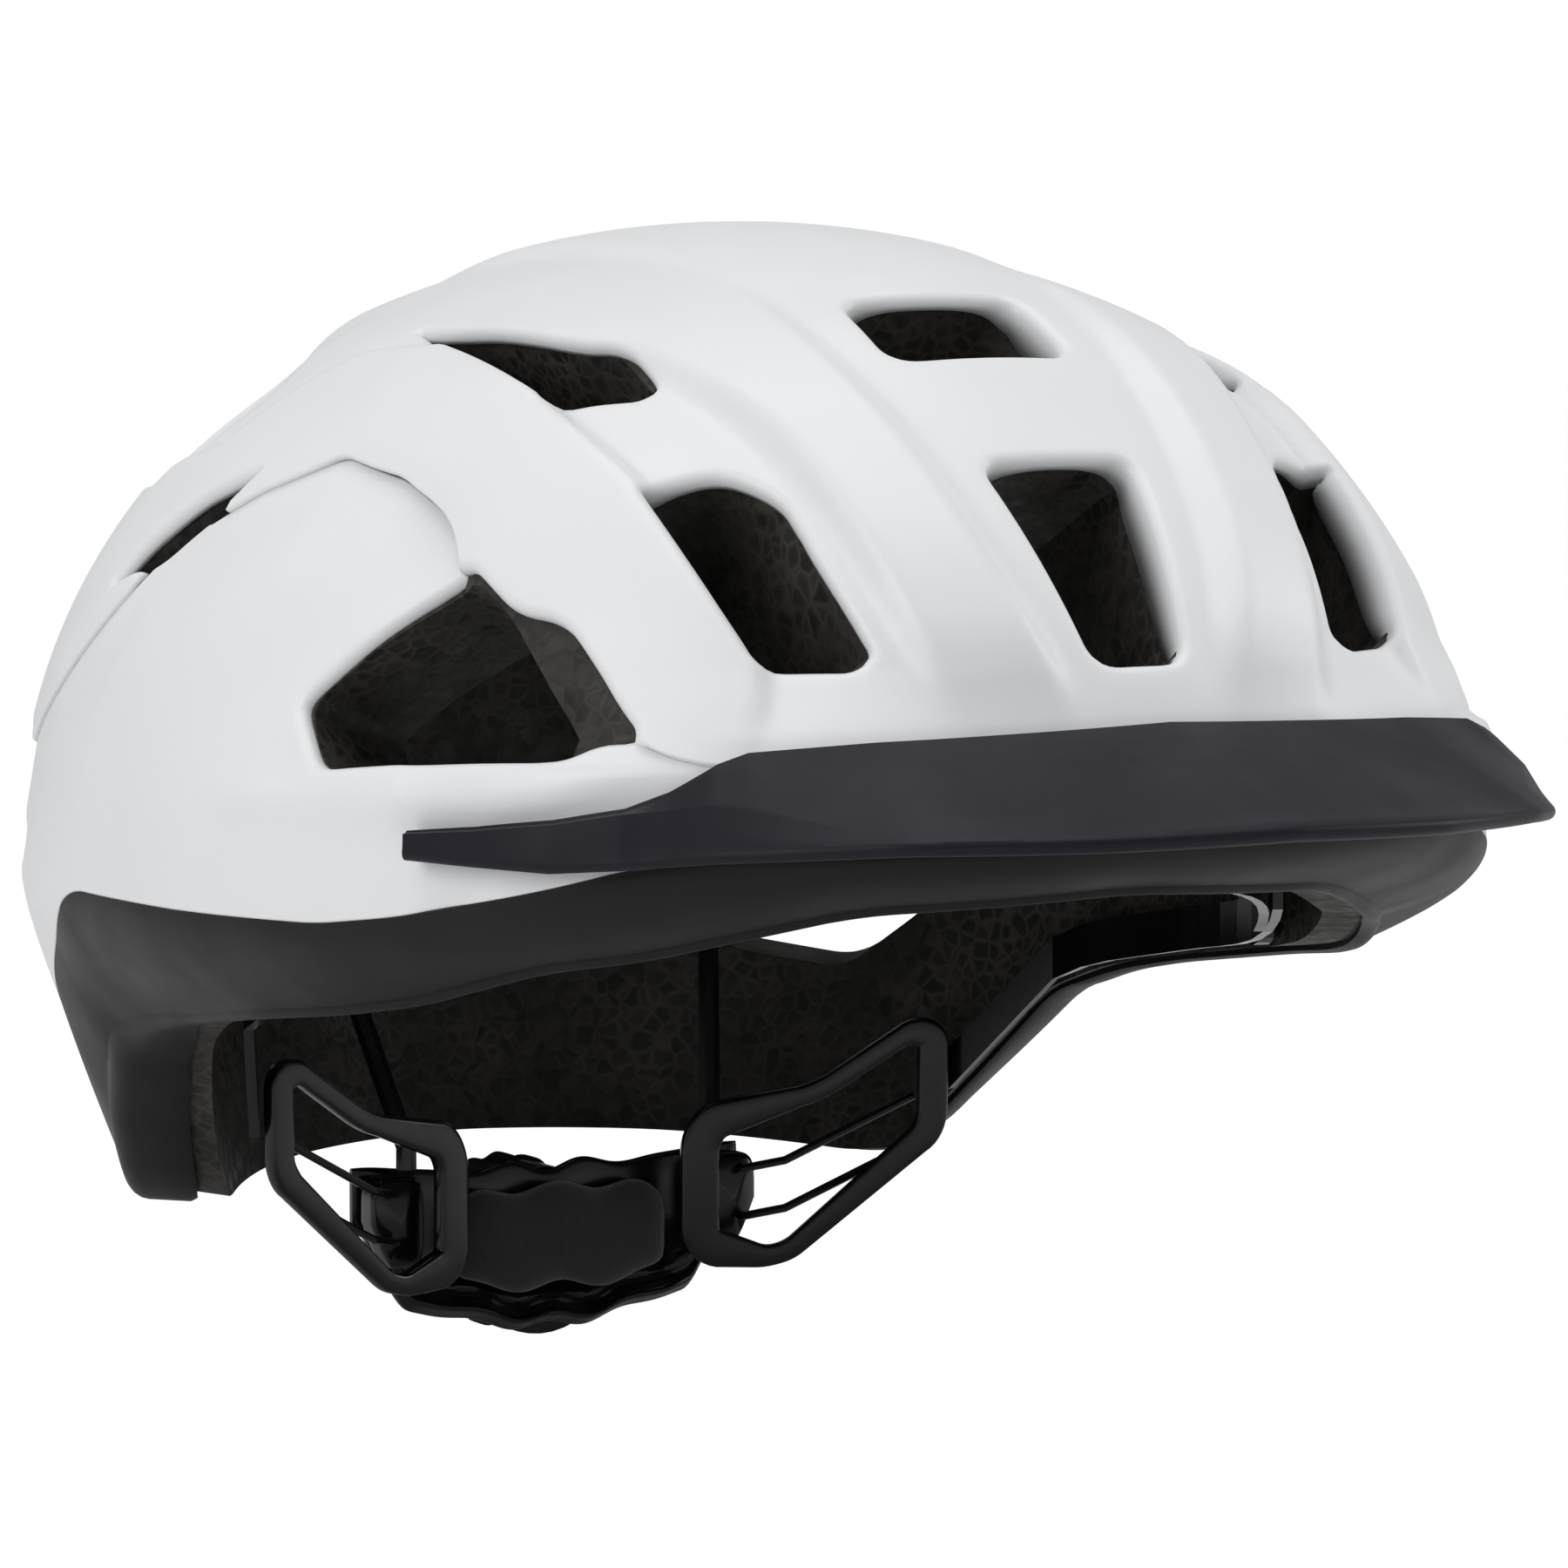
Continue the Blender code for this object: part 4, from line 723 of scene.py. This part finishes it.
# Base shell, as a closed profile carried round the head, with sizes in millimetres by bearing
BASE_WALL_ROWS = 22
BASE_ROLL = ((0, 1.2), (95, 1.4), (108, 2.6), (116, 4.4), (136, 4.4), (150, 2.2), (180, 1.6))
BASE_FULL = ((0, 0), (104, 0), (118, 1.5), (150, 1.5), (180, 1))
BASE_STRIP = ((0, 1.0), (95, 1.5), (106, 4), (117, 8.4), (135, 9.4), (150, 4), (180, 3))


def base_section(bearing):
    """Outer wall from the joint to the lower edge, an edge that rolls under, a strip and a back.

    The roll leaves the wall square to the lower edge, so it turns forwards where that edge runs down.
    """
    line_rise = soft_table(BASE_JOINT, bearing)
    top_d = direction(bearing, line_rise)
    top = radius_along(SHELL, top_d) * np.sin(np.radians(line_rise)) - JOINT_GAP
    rim = soft_table(RIM, bearing, RIM_SOFT)
    inward = -direction(bearing, 0.0)
    edge = at_height(SHELL, bearing, rim)
    away = np.cross(np.roll(edge, -1, 0) - np.roll(edge, 1, 0), inward)
    away = unit(away) * np.sign(-away[:, 2:])
    tables = (BASE_STRIP, BASE_ROLL, BASE_FULL)
    under, roll, full = (soft_table(rows, bearing, 4.0)[:, None] for rows in tables)
    end = rim + (roll / np.maximum(-away[:, 2:], 0.4))[:, 0]
    wall = [at_height(SHELL, bearing, top + (end - top) * t) - inward * full * t
            for t in np.linspace(0.0, 1.0, BASE_WALL_ROWS)]
    corner = wall[-1]
    turns = np.linspace(0.0, math.pi / 2.0, 6)[1:]
    bottom = [corner + inward * roll * (1.0 - math.cos(t)) + away * roll * math.sin(t) for t in turns]
    foot = bottom[-1] + inward * under
    bottom += [foot - inward * 0.6, foot + inward * 0.4 - away * 0.5]
    inside = [foot - away * 2.4, corner + inward * (roll + 2.0) - away * 1.2]
    lip = [wall[0] + inward * 1.4 - Z_AXIS * 0.6, wall[0] + inward * 0.6 + Z_AXIS * 0.3]
    return np.stack([*wall, *bottom, *inside, *lip], axis=-2)


carried("base_shell_skin", base_section(np.arange(0.0, 360.0, 0.75)), True, BASE_GREY, "helmet",
        ("base_shell",))


# Foam liner, as one closed bowl with vents through it
FOAM_BELOW_SKIN = 2.3
FOAM_EDGE = 0.4
FOAM_RIM_LIFT = 1.2
FOAM_ROWS = 5
FOAM_CROWN = 89.5
FOAM_PULL = direction(0.0, 25.0)
FOAM_TEMPLE = ((68.5, 18.5), (52.5, 28.5), (47.8, 25.2), (39.9, 14.6), (41.7, 13.7), (63.7, 13.2))
FOAM_EXHAUST = ((123, 3), (150, 4.5), (158, -1), (154.5, -12), (142.5, -14.4), (133.5, -8.5))
for name, shape in (("foam_temple", FOAM_TEMPLE), ("foam_exhaust", FOAM_EXHAUST)):
    VENTS[name] = [Vent(shape, 4.0), Vent(shape, 4.0, -1.0)]
FOAM_HOLES = [name for name in VENTS if name not in ("temple", "rear_low")]


def foam_angles(bearing, ring):
    """Rise of a ring, from close to the crown at ring 0 to the lower edge at ring 1."""
    rim = soft_table(RIM, bearing, RIM_SOFT) + FOAM_RIM_LIFT
    reach = plan_reach(SHELL, bearing) * spread(SHELL, rim) - tuck(bearing, rim)
    low = np.degrees(np.arctan2(rim, reach))
    return FOAM_CROWN + (low - FOAM_CROWN) * ring


def foam_field(bearing, ring):
    """Distance outside the foam's holes."""
    return vent_distance(direction(bearing, foam_angles(bearing, ring)), FOAM_HOLES) - FOAM_EDGE


def behind_front_vents(d, outer):
    """Directions of the inner points: those of the outer ones, but round the front vents the walls run
    straight back along one pull, so each inner point lies where that line meets the cavity."""
    share = 1.0 - smooth(vent_distance(d, ("front_side", "centre")), 0.5, 14.0)
    place = outer
    for _ in range(5):
        length = np.linalg.norm(place, axis=-1)
        toward = place / length[..., None]
        step = (length - radius_along(CAVITY, toward)) / np.maximum(toward @ FOAM_PULL, 0.3)
        place = place - step[..., None] * FOAM_PULL
    return unit(d + (unit(place) - d) * share[..., None])


def skin_relief(d, bearing, rise):
    """Relief of whichever skin lies over a place."""
    alpha = np.degrees(np.arctan2(d[..., 2], -d[..., 1]))
    beta = np.degrees(np.arcsin(np.clip(d[..., 0], -1.0, 1.0)))
    over = smooth(joint_distance(UPPER_JOINT, bearing, rise), -2.0, 2.0)
    bearing = (bearing + 180.0) % 360.0 - 180.0
    under_upper = upper_rise(alpha, beta) + flare(bearing, rise)
    return panel_relief(bearing, rise) * (1.0 - over) - under_upper * over


def foam_piece():
    """Outer and inner bowl with the same holes, and walls of several rows between their edges."""
    rounds, rings = np.linspace(0.0, 360.0, 401), np.linspace(0.0, 1.0, 101)
    bearing, ring, value = snap_grid(rounds, rings, foam_field)
    rise = foam_angles(bearing, ring)
    d = direction(bearing, rise)
    outer = d * (radius_along(SHELL, d) - FOAM_BELOW_SKIN - skin_relief(d, bearing, rise))[..., None]
    behind = behind_front_vents(d, outer)
    edge = at_height(CAVITY, bearing, soft_table(RIM, bearing, RIM_SOFT) + FOAM_RIM_LIFT)
    inner = np.where((ring > 0.999)[..., None], edge, behind * radius_along(CAVITY, behind)[..., None])
    faces = grid_faces(value)
    columns = value.shape[1]
    wrap = np.arange(value.size)
    wrap[-columns:] = np.arange(columns)
    faces = [wrap[f] for f in faces]
    points, faces, back = used_only(outer.reshape(-1, 3), faces, inner.reshape(-1, 3))
    faces = outward_faces(points, faces)
    border = border_edges(faces, len(points))
    layers = [points + (back - points) * k / FOAM_ROWS for k in range(1, FOAM_ROWS)]
    total = len(points)
    stacked = np.concatenate([points, *layers, back])
    strips = [strip(border + k * total, border + (k + 1) * total) for k in range(FOAM_ROWS)]
    inner_faces = [f[:, ::-1] + FOAM_ROWS * total for f in faces]
    stacked, all_faces = used_only(stacked, [*faces, *inner_faces, *strips])
    make_piece("eps_liner_foam", stacked, all_faces, FOAM, "helmet", ("eps_liner",), 40.0)


foam_piece()


# Visor, as a closed section carried from tail to tail: levels and reaches in millimetres by bearing,
# creases as a share of the way down the face
VISOR_TOP = ((0, 32.5), (20, 31), (28, 30), (30, 28.5), (33, 24.5), (36, 21.8), (41, 20), (53, 17.4))
VISOR_LIP = ((0, 20), (20, 18.6), (30, 16.5), (36, 14.6), (41, 13.6), (53, 14.0))
VISOR_REACH = ((0, 33), (10, 31), (20, 25), (27, 17.5), (33, 11), (36, 8.5), (41, 5.5), (47, 3), (53, 2))
VISOR_THICKNESS = 2.4
VISOR_CLEARANCE = 0.8
VISOR_TAIL_REACH = 2.0
VISOR_END = 53.0
VISOR_BREAKS = np.array((23.0, 28.0, 30.0, 33.0, 36.0))
VISOR_CREASES = (((0, 0.5), (18, 0.72), (23, 0.78), (28, 0.17), (31, 0.1), (53, 0.1)),
                 ((0, 0.8), (18, 0.84), (23, 0.82), (36, 0.22), (41, 0.2), (53, 0.2)))
VISOR_FOLDS = (((0, 0), (17, 0), (23, 0.4), (28, 0.5), (32, 0.3), (53, 0.1)),
               ((0, 0), (17, 0), (23, 0.45), (30, 1.1), (36, 1.6), (42, 1.6), (53, 1.0)))


def visor_section(bearing):
    """Top edge by the shell, a face with two folds, round lip and underside.

    The folds run slantwise over the face where the brim passes into its tails.
    """
    outward = direction(bearing, 0.0 * bearing)
    root = at_height(SHELL, bearing, table(VISOR_TOP, bearing))
    lip = at_height(SHELL, bearing, table(VISOR_LIP, bearing))
    over_root, over_lip = (flare(bearing, bearing_rise(unit(edge))[1]) for edge in (root, lip))
    root = root + outward * (over_root + VISOR_CLEARANCE)[:, None]
    reach = np.maximum(table(VISOR_REACH, bearing), over_lip + VISOR_TAIL_REACH)
    lip = lip + outward * reach[:, None]
    face = lip - root
    slope = unit(face)
    thick = unit(Z_AXIS - slope * slope[:, 2:] + outward * 0.3)
    t = VISOR_THICKNESS
    upper, lower = (table(rows, bearing)[:, None] for rows in VISOR_CREASES)
    upper_fold, lower_fold = (table(rows, bearing)[:, None] for rows in VISOR_FOLDS)
    space, change = lower - upper, lower_fold - upper_fold
    rows = ((0.02, 0.0),
            (upper * 0.5, upper_fold * 0.5),
            (upper * 0.94, upper_fold * 0.94),
            (upper, upper_fold),
            (upper + space * 0.08, upper_fold + change * 0.08),
            (upper + space * 0.92, upper_fold + change * 0.92),
            (lower, lower_fold),
            (lower + (1.0 - lower) * 0.08, lower_fold * 0.92),
            (lower + (1.0 - lower) * 0.6, lower_fold * 0.4))
    top = [root + thick * t * 0.5]
    top += [root + face * share + thick * (t + fold) for share, fold in rows]
    middle = lip + thick * t * 0.5 - slope * t * 0.3
    turns = np.radians(np.linspace(80.0, -90.0, 8))
    bead = [middle + (thick * math.sin(a) + slope * math.cos(a)) * t * 0.62 for a in turns]
    under = [root + face * share for share in (0.9, 0.5, 0.1)]
    return np.stack([*top, *bead, *under, root], axis=1)


visor_bearings = np.concatenate((np.linspace(-VISOR_END, VISOR_END, 161), VISOR_BREAKS, -VISOR_BREAKS))
carried("visor_brim", visor_section(np.unique(visor_bearings)), False, VISOR_GREY, "visor_unit",
        ("visor",), 32.0)


# Pads, as closed rounded sections that shrink towards their ends; a middle is its y and z
def rounded_section(across, up, half_across, half_up, power, count=28):
    """Superellipse loops in the plane of two directions, one for each row of the half sizes.

    A direction is one vector for all loops, or a row for each.
    """
    across, up = np.atleast_2d(across), np.atleast_2d(up)
    a = np.linspace(0.0, 2.0 * math.pi, count, endpoint=False)
    c = np.sign(np.cos(a)) * np.abs(np.cos(a)) ** power
    u = np.sign(np.sin(a)) * np.abs(np.sin(a)) ** power
    return (across[:, None, :] * (half_across[:, None] * c)[..., None]
            + up[:, None, :] * (half_up[:, None] * u)[..., None])


def pad_piece(node, path, across, up, half_across, half_up, seams=(), body="helmet", local=False):
    """Padded piece along a path: full in the middle, drawn in at its ends and at its sewn seams."""
    share = np.linspace(-1.0, 1.0, len(path))
    ends = (1.0 - np.abs(share) ** 5) ** 0.5 * 0.985 + 0.015
    drawn = 1.0 - sum((0.3 * np.exp(-((share - seam) / 0.05) ** 2) for seam in seams), 0.0 * share)
    loops = rounded_section(across, up, half_across * ends * drawn, half_up * (0.35 + 0.65 * ends), 0.62)
    piece = carried(node + "_cloth", path[:, None, :] + loops, False, PAD_CLOTH, body,
                    (node,), 60.0, local)


BROW_HALF_ANGLE = 16.0
BROW_OVER_RIM = 17.0
BROW_OFF_WALL = 3.4
CROWN_PAD_SIDE = 17.0
CROWN_PAD_MIDDLE = (7.8, 148.1)
CROWN_PAD_HALF_LENGTH = 33.8
NAPE_PAD_HALF_LENGTH = 19.6
NAPE_PAD_MIDDLE = (74.6, 19.4)
NAPE_WAVES = 2.6 * math.pi

share = np.linspace(-1.0, 1.0, 61)
same = np.ones_like(share)
brow_bearing = share * BROW_HALF_ANGLE
brow_in = -direction(brow_bearing, 0.0)
brow_level = table(RIM, brow_bearing) + BROW_OVER_RIM
brow_path = at_height(CAVITY, brow_bearing, brow_level) + brow_in * BROW_OFF_WALL
pad_piece("brow_pad", brow_path, brow_in, Z_AXIS, 2.4, 7.8, (-0.4, 0.4), local=True)
for side_name, side in SIDES:
    crown_y = CROWN_PAD_MIDDLE[0] + share * CROWN_PAD_HALF_LENGTH
    crown_path = np.stack((same * side * CROWN_PAD_SIDE, crown_y, same * CROWN_PAD_MIDDLE[1]), axis=-1)
    pad_piece("crown_pad_" + side_name, crown_path, Z_AXIS, X_AXIS, 2.8, 10.8, (-0.35, 0.35))
nape_z = NAPE_PAD_MIDDLE[1] + 0.8 * np.cos(share * NAPE_WAVES)
nape_path = np.stack((share * NAPE_PAD_HALF_LENGTH, same * NAPE_PAD_MIDDLE[0], nape_z), axis=-1)
pad_piece("nape_pad", nape_path, Y_AXIS, Z_AXIS, 3.0, 8.2, body="cradle")


# Nape carrier: a plate with a wavy top, a boat-shaped foot and two folds along it
CARRIER_END = 35.5
CARRIER_ROUND_END = 36.1
CARRIER_DEPTH = 79.5
CARRIER_HALF_THICKNESS = 1.45
CARRIER_TOP = 30.6
CARRIER_FOOT = 3.4
CARRIER_FOLDS = ((2.6, 2.0, 1.3), (1.5, 5.4, 1.1))


def carrier_section(x):
    """Upright rounded loop at a side place; the folds are bell curves that lift the front face."""
    side = np.abs(x)
    wave = np.cos(x / 19.0 * NAPE_WAVES) * np.exp(-(x / 16.0) ** 2)
    top = CARRIER_TOP - 1.0 * wave + 1.6 * smooth(side, 16.0, 34.0)
    foot = CARRIER_FOOT + 0.9 * wave + 7.6 * (side / 38.0) ** 1.3 + 12.0 * smooth(side, 25.0, CARRIER_END)
    thickness = CARRIER_HALF_THICKNESS * (1.0 - (side / CARRIER_ROUND_END) ** 8) ** 0.5
    middle = np.stack((x, np.full_like(x, CARRIER_DEPTH), (top + foot) / 2.0), axis=-1)
    loops = middle[:, None, :] + rounded_section(Y_AXIS, Z_AXIS, thickness, (top - foot) / 2.0, 0.4, 96)
    over_foot = loops[..., 2] - foot[:, None]
    folds = sum(lift * np.exp(-((over_foot - level) / width) ** 2) for lift, level, width in CARRIER_FOLDS)
    front = smooth(CARRIER_DEPTH - loops[..., 1], 0.0, 1.2)
    loops[..., 1] -= folds * front * smooth(32.0 - side, 0.0, 12.0)[:, None]
    return loops


def nylon_piece(node, kind, loops, closed, body):
    """Nylon piece of the cradle in place of its solid."""
    carried(node + kind, loops, closed, NYLON, body, (node,), 50.0, False)


carrier_loops = carrier_section(np.linspace(-CARRIER_END, CARRIER_END, 115))
nylon_piece("nape_carrier", "_plate", carrier_loops, False, "cradle")


# Dial grip: a fluted rubber ring
GRIP_MIDDLE = (0.0, 94.6, 16.0)
GRIP_BORE = 12.7
GRIP_REACH = 14.2
GRIP_HALF_DEPTH = 3.9
FLUTES = 18.0
FLUTE_DEPTH = 0.45
turn = np.radians(np.arange(0.0, 360.0, 1.5))
spoke = np.stack((np.sin(turn), 0.0 * turn, np.cos(turn)), axis=-1)
grip_reach = GRIP_REACH + FLUTE_DEPTH * np.cos(FLUTES * turn)
grip_middle = spoke * ((grip_reach + GRIP_BORE) / 2.0)[:, None] + np.array(GRIP_MIDDLE)
grip_loops = rounded_section(spoke, Y_AXIS, (grip_reach - GRIP_BORE) / 2.0,
                             np.full(len(turn), GRIP_HALF_DEPTH), 0.5, 20)
carried("dial_grip_ring", grip_middle[:, None, :] + grip_loops, True, RUBBER, "dial", ("dial_grip",),
        50.0, False)


# Lace guides: rounded blocks, drawn in at the lower outer corner
GUIDE_MIDDLE = (30.6, 74.2, 23.8)
GUIDE_HALF = (4.7, 3.3, 7.6)
GUIDE_DRAWN_IN = 0.45
share = np.linspace(-1.0, 1.0, 13)
guide_size = (1.0 - share ** 8) ** 0.5 * 0.97 + 0.03
guide_middle = np.array(GUIDE_MIDDLE) + share[:, None] * Y_AXIS * GUIDE_HALF[1]
guide_loops = guide_middle[:, None, :] + rounded_section(X_AXIS, Z_AXIS, GUIDE_HALF[0] * guide_size,
                                                         GUIDE_HALF[2] * guide_size, 0.45, 40)
below = np.clip(GUIDE_MIDDLE[2] - guide_loops[..., 2], 0.0, 8.0)
outside = np.clip(guide_loops[..., 0] - GUIDE_MIDDLE[0], 0.0, 5.0) / 5.0
guide_loops[..., 0] -= GUIDE_DRAWN_IN * below * outside
for side_name, side in SIDES:
    nylon_piece("lace_guide_" + side_name, "_block", guide_loops * (side, 1.0, 1.0), False, "cradle")


# Brackets: a rounded bar carried round each open frame, drawn in its own plane
BRACKET_LINE = ((3, 17), (14, 14.8), (18, 15.8), (42, 35.8), (42.2, 51.4), (38.4, 52.2), (23, 42.4),
                (5, 37.6), (3, 34))
BRACKET_ORIGIN = (20.0, 69.1, 0.0)
BRACKET_SLOPE = 15.0 / 42.0
BRACKET_CORNER = 3.4
BRACKET_HALF_THICKNESS = 1.3
BAR_HALF_WIDTH = 1.7
BAR_MORE_AT_NAPE = 1.5
BAR_MORE_AT_FRONT = 0.8
outline = rounded_outline(BRACKET_LINE, BRACKET_CORNER, 9)
bar = (BAR_HALF_WIDTH + BAR_MORE_AT_NAPE * (1.0 - smooth(outline[:, 0], 5.0, 16.0))
       + BAR_MORE_AT_FRONT * smooth(outline[:, 0], 36.0, 41.0))
along_plane = unit(np.array((1.0, -BRACKET_SLOPE, 0.0)))
line = np.array(BRACKET_ORIGIN) + outline[:, :1] * along_plane + outline[:, 1:] * Z_AXIS
tangent = unit(np.roll(line, -1, 0) - np.roll(line, 1, 0))
plane_normal = np.cross(along_plane, Z_AXIS)
bracket_loops = line[:, None, :] + rounded_section(np.cross(tangent, plane_normal), plane_normal, bar,
                                                   np.full(len(line), BRACKET_HALF_THICKNESS), 0.4, 24)
for side_name, side in SIDES:
    flipped = bracket_loops * (side, 1.0, 1.0)
    nylon_piece("bracket_" + side_name, "_frame", flipped, True, "arm_" + side_name)


# Finish of the solids that are shown as they are
NODE_FINISH = {"nylon_black": NYLON, "visor_grey": VISOR_GREY, "pad_black": PAD_CLOTH,
               "lace_black": NYLON, "grip_rubber": RUBBER, "spool_grey": NYLON, "screw_steel": STEEL}
for part in frame["record"]["subparts"]:
    node = frame["nodes"].get(part["node"])
    finish = NODE_FINISH.get(part["material_slot"])
    if node and finish:
        node.data.materials.clear()
        node.data.materials.append(finish)


# Camera, floor and light
VIEW_AZIMUTH, VIEW_ELEVATION, VIEW_DISTANCE = -28.0, 6.0, 1300.0
PHOTO_SIDE = 1800.0
PIXELS_PER_MM = 7.3016
AIM_RIGHT, AIM_UP = 5.6, 14.6
SENSOR = 36.0
back = direction(VIEW_AZIMUTH, VIEW_ELEVATION)
eye = CENTRE + back * VIEW_DISTANCE
right = direction(VIEW_AZIMUTH + 90.0, 0.0)
upward = np.cross(back, right)
aim = CENTRE + right * AIM_RIGHT + upward * AIM_UP
camera_data = bpy.data.cameras.new("camera")
camera_data.sensor_width = SENSOR
camera_data.lens = SENSOR * PIXELS_PER_MM * VIEW_DISTANCE / PHOTO_SIDE
camera_data.clip_end = 20.0
camera = bpy.data.objects.new("camera", camera_data)
camera.location = eye * MM
camera.rotation_euler = Vector((aim - eye) * MM).to_track_quat("-Z", "Y").to_euler()
bpy.context.scene.collection.objects.link(camera)
bpy.context.scene.camera = camera


FLOOR_SHINE = 1.02
FLOOR_SHINE_SHARE = 0.975
WHITE = (1.0, 1.0, 1.0, 1.0)
LIT_POINT = Vector((0.0, 0.0, 0.1))


def show_camera(tree, lit, seen, share, output):
    """Lit shader for all light, mixed by a share with another that only the camera sees."""
    path = tree.nodes.new("ShaderNodeLightPath")
    amount = tree.nodes.new("ShaderNodeMath")
    amount.operation = "MULTIPLY"
    amount.inputs[1].default_value = share
    mix = tree.nodes.new("ShaderNodeMixShader")
    link(tree, path, "Is Camera Ray", amount, 0)
    link(tree, amount, "Value", mix, "Fac")
    link(tree, lit, 0, mix, 1)
    link(tree, seen, 0, mix, 2)
    link(tree, mix, "Shader", tree.nodes[output], "Surface")


def floor_material():
    """Pale floor that shines a little towards the camera, so that it passes into the backdrop."""
    material, tree, shader = new_material("floor_white")
    shader.inputs["Base Color"].default_value = (0.86, 0.86, 0.86, 1.0)
    shader.inputs["Roughness"].default_value = 0.9
    shine = tree.nodes.new("ShaderNodeEmission")
    shine.inputs["Color"].default_value = WHITE
    shine.inputs["Strength"].default_value = FLOOR_SHINE
    show_camera(tree, shader, shine, FLOOR_SHINE_SHARE, "Material Output")
    return material


bpy.ops.mesh.primitive_plane_add(size=6.0, location=(0.0, 0.0, -0.0006))
floor = bpy.context.active_object
floor.name = "floor"
floor.data.materials.append(floor_material())

world = bpy.data.worlds.new("studio")
bpy.context.scene.world = world
world.use_nodes = True
sky = world.node_tree.nodes["Background"]
sky.inputs["Color"].default_value = WHITE
sky.inputs["Strength"].default_value = 0.42
seen = world.node_tree.nodes.new("ShaderNodeBackground")
seen.inputs["Color"].default_value = WHITE
show_camera(world.node_tree, sky, seen, 1.0, "World Output")


def soft_box(name, place, size, power):
    """Area light that looks at the helmet's middle."""
    data = bpy.data.lights.new(name, "AREA")
    data.shape = "RECTANGLE"
    data.size, data.size_y = size
    data.energy = power
    item = bpy.data.objects.new(name, data)
    item.location = place
    item.rotation_euler = (LIT_POINT - Vector(place)).to_track_quat("-Z", "Y").to_euler()
    bpy.context.scene.collection.objects.link(item)


soft_box("top_box", (-0.1, 0.0, 1.5), (1.4, 1.2), 9.5)
soft_box("left_box", (-1.45, -0.3, 0.75), (0.8, 1.0), 8.0)
soft_box("right_box", (1.5, -0.55, 0.75), (0.7, 1.0), 8.5)

bpy.context.scene.view_settings.view_transform = "Standard"
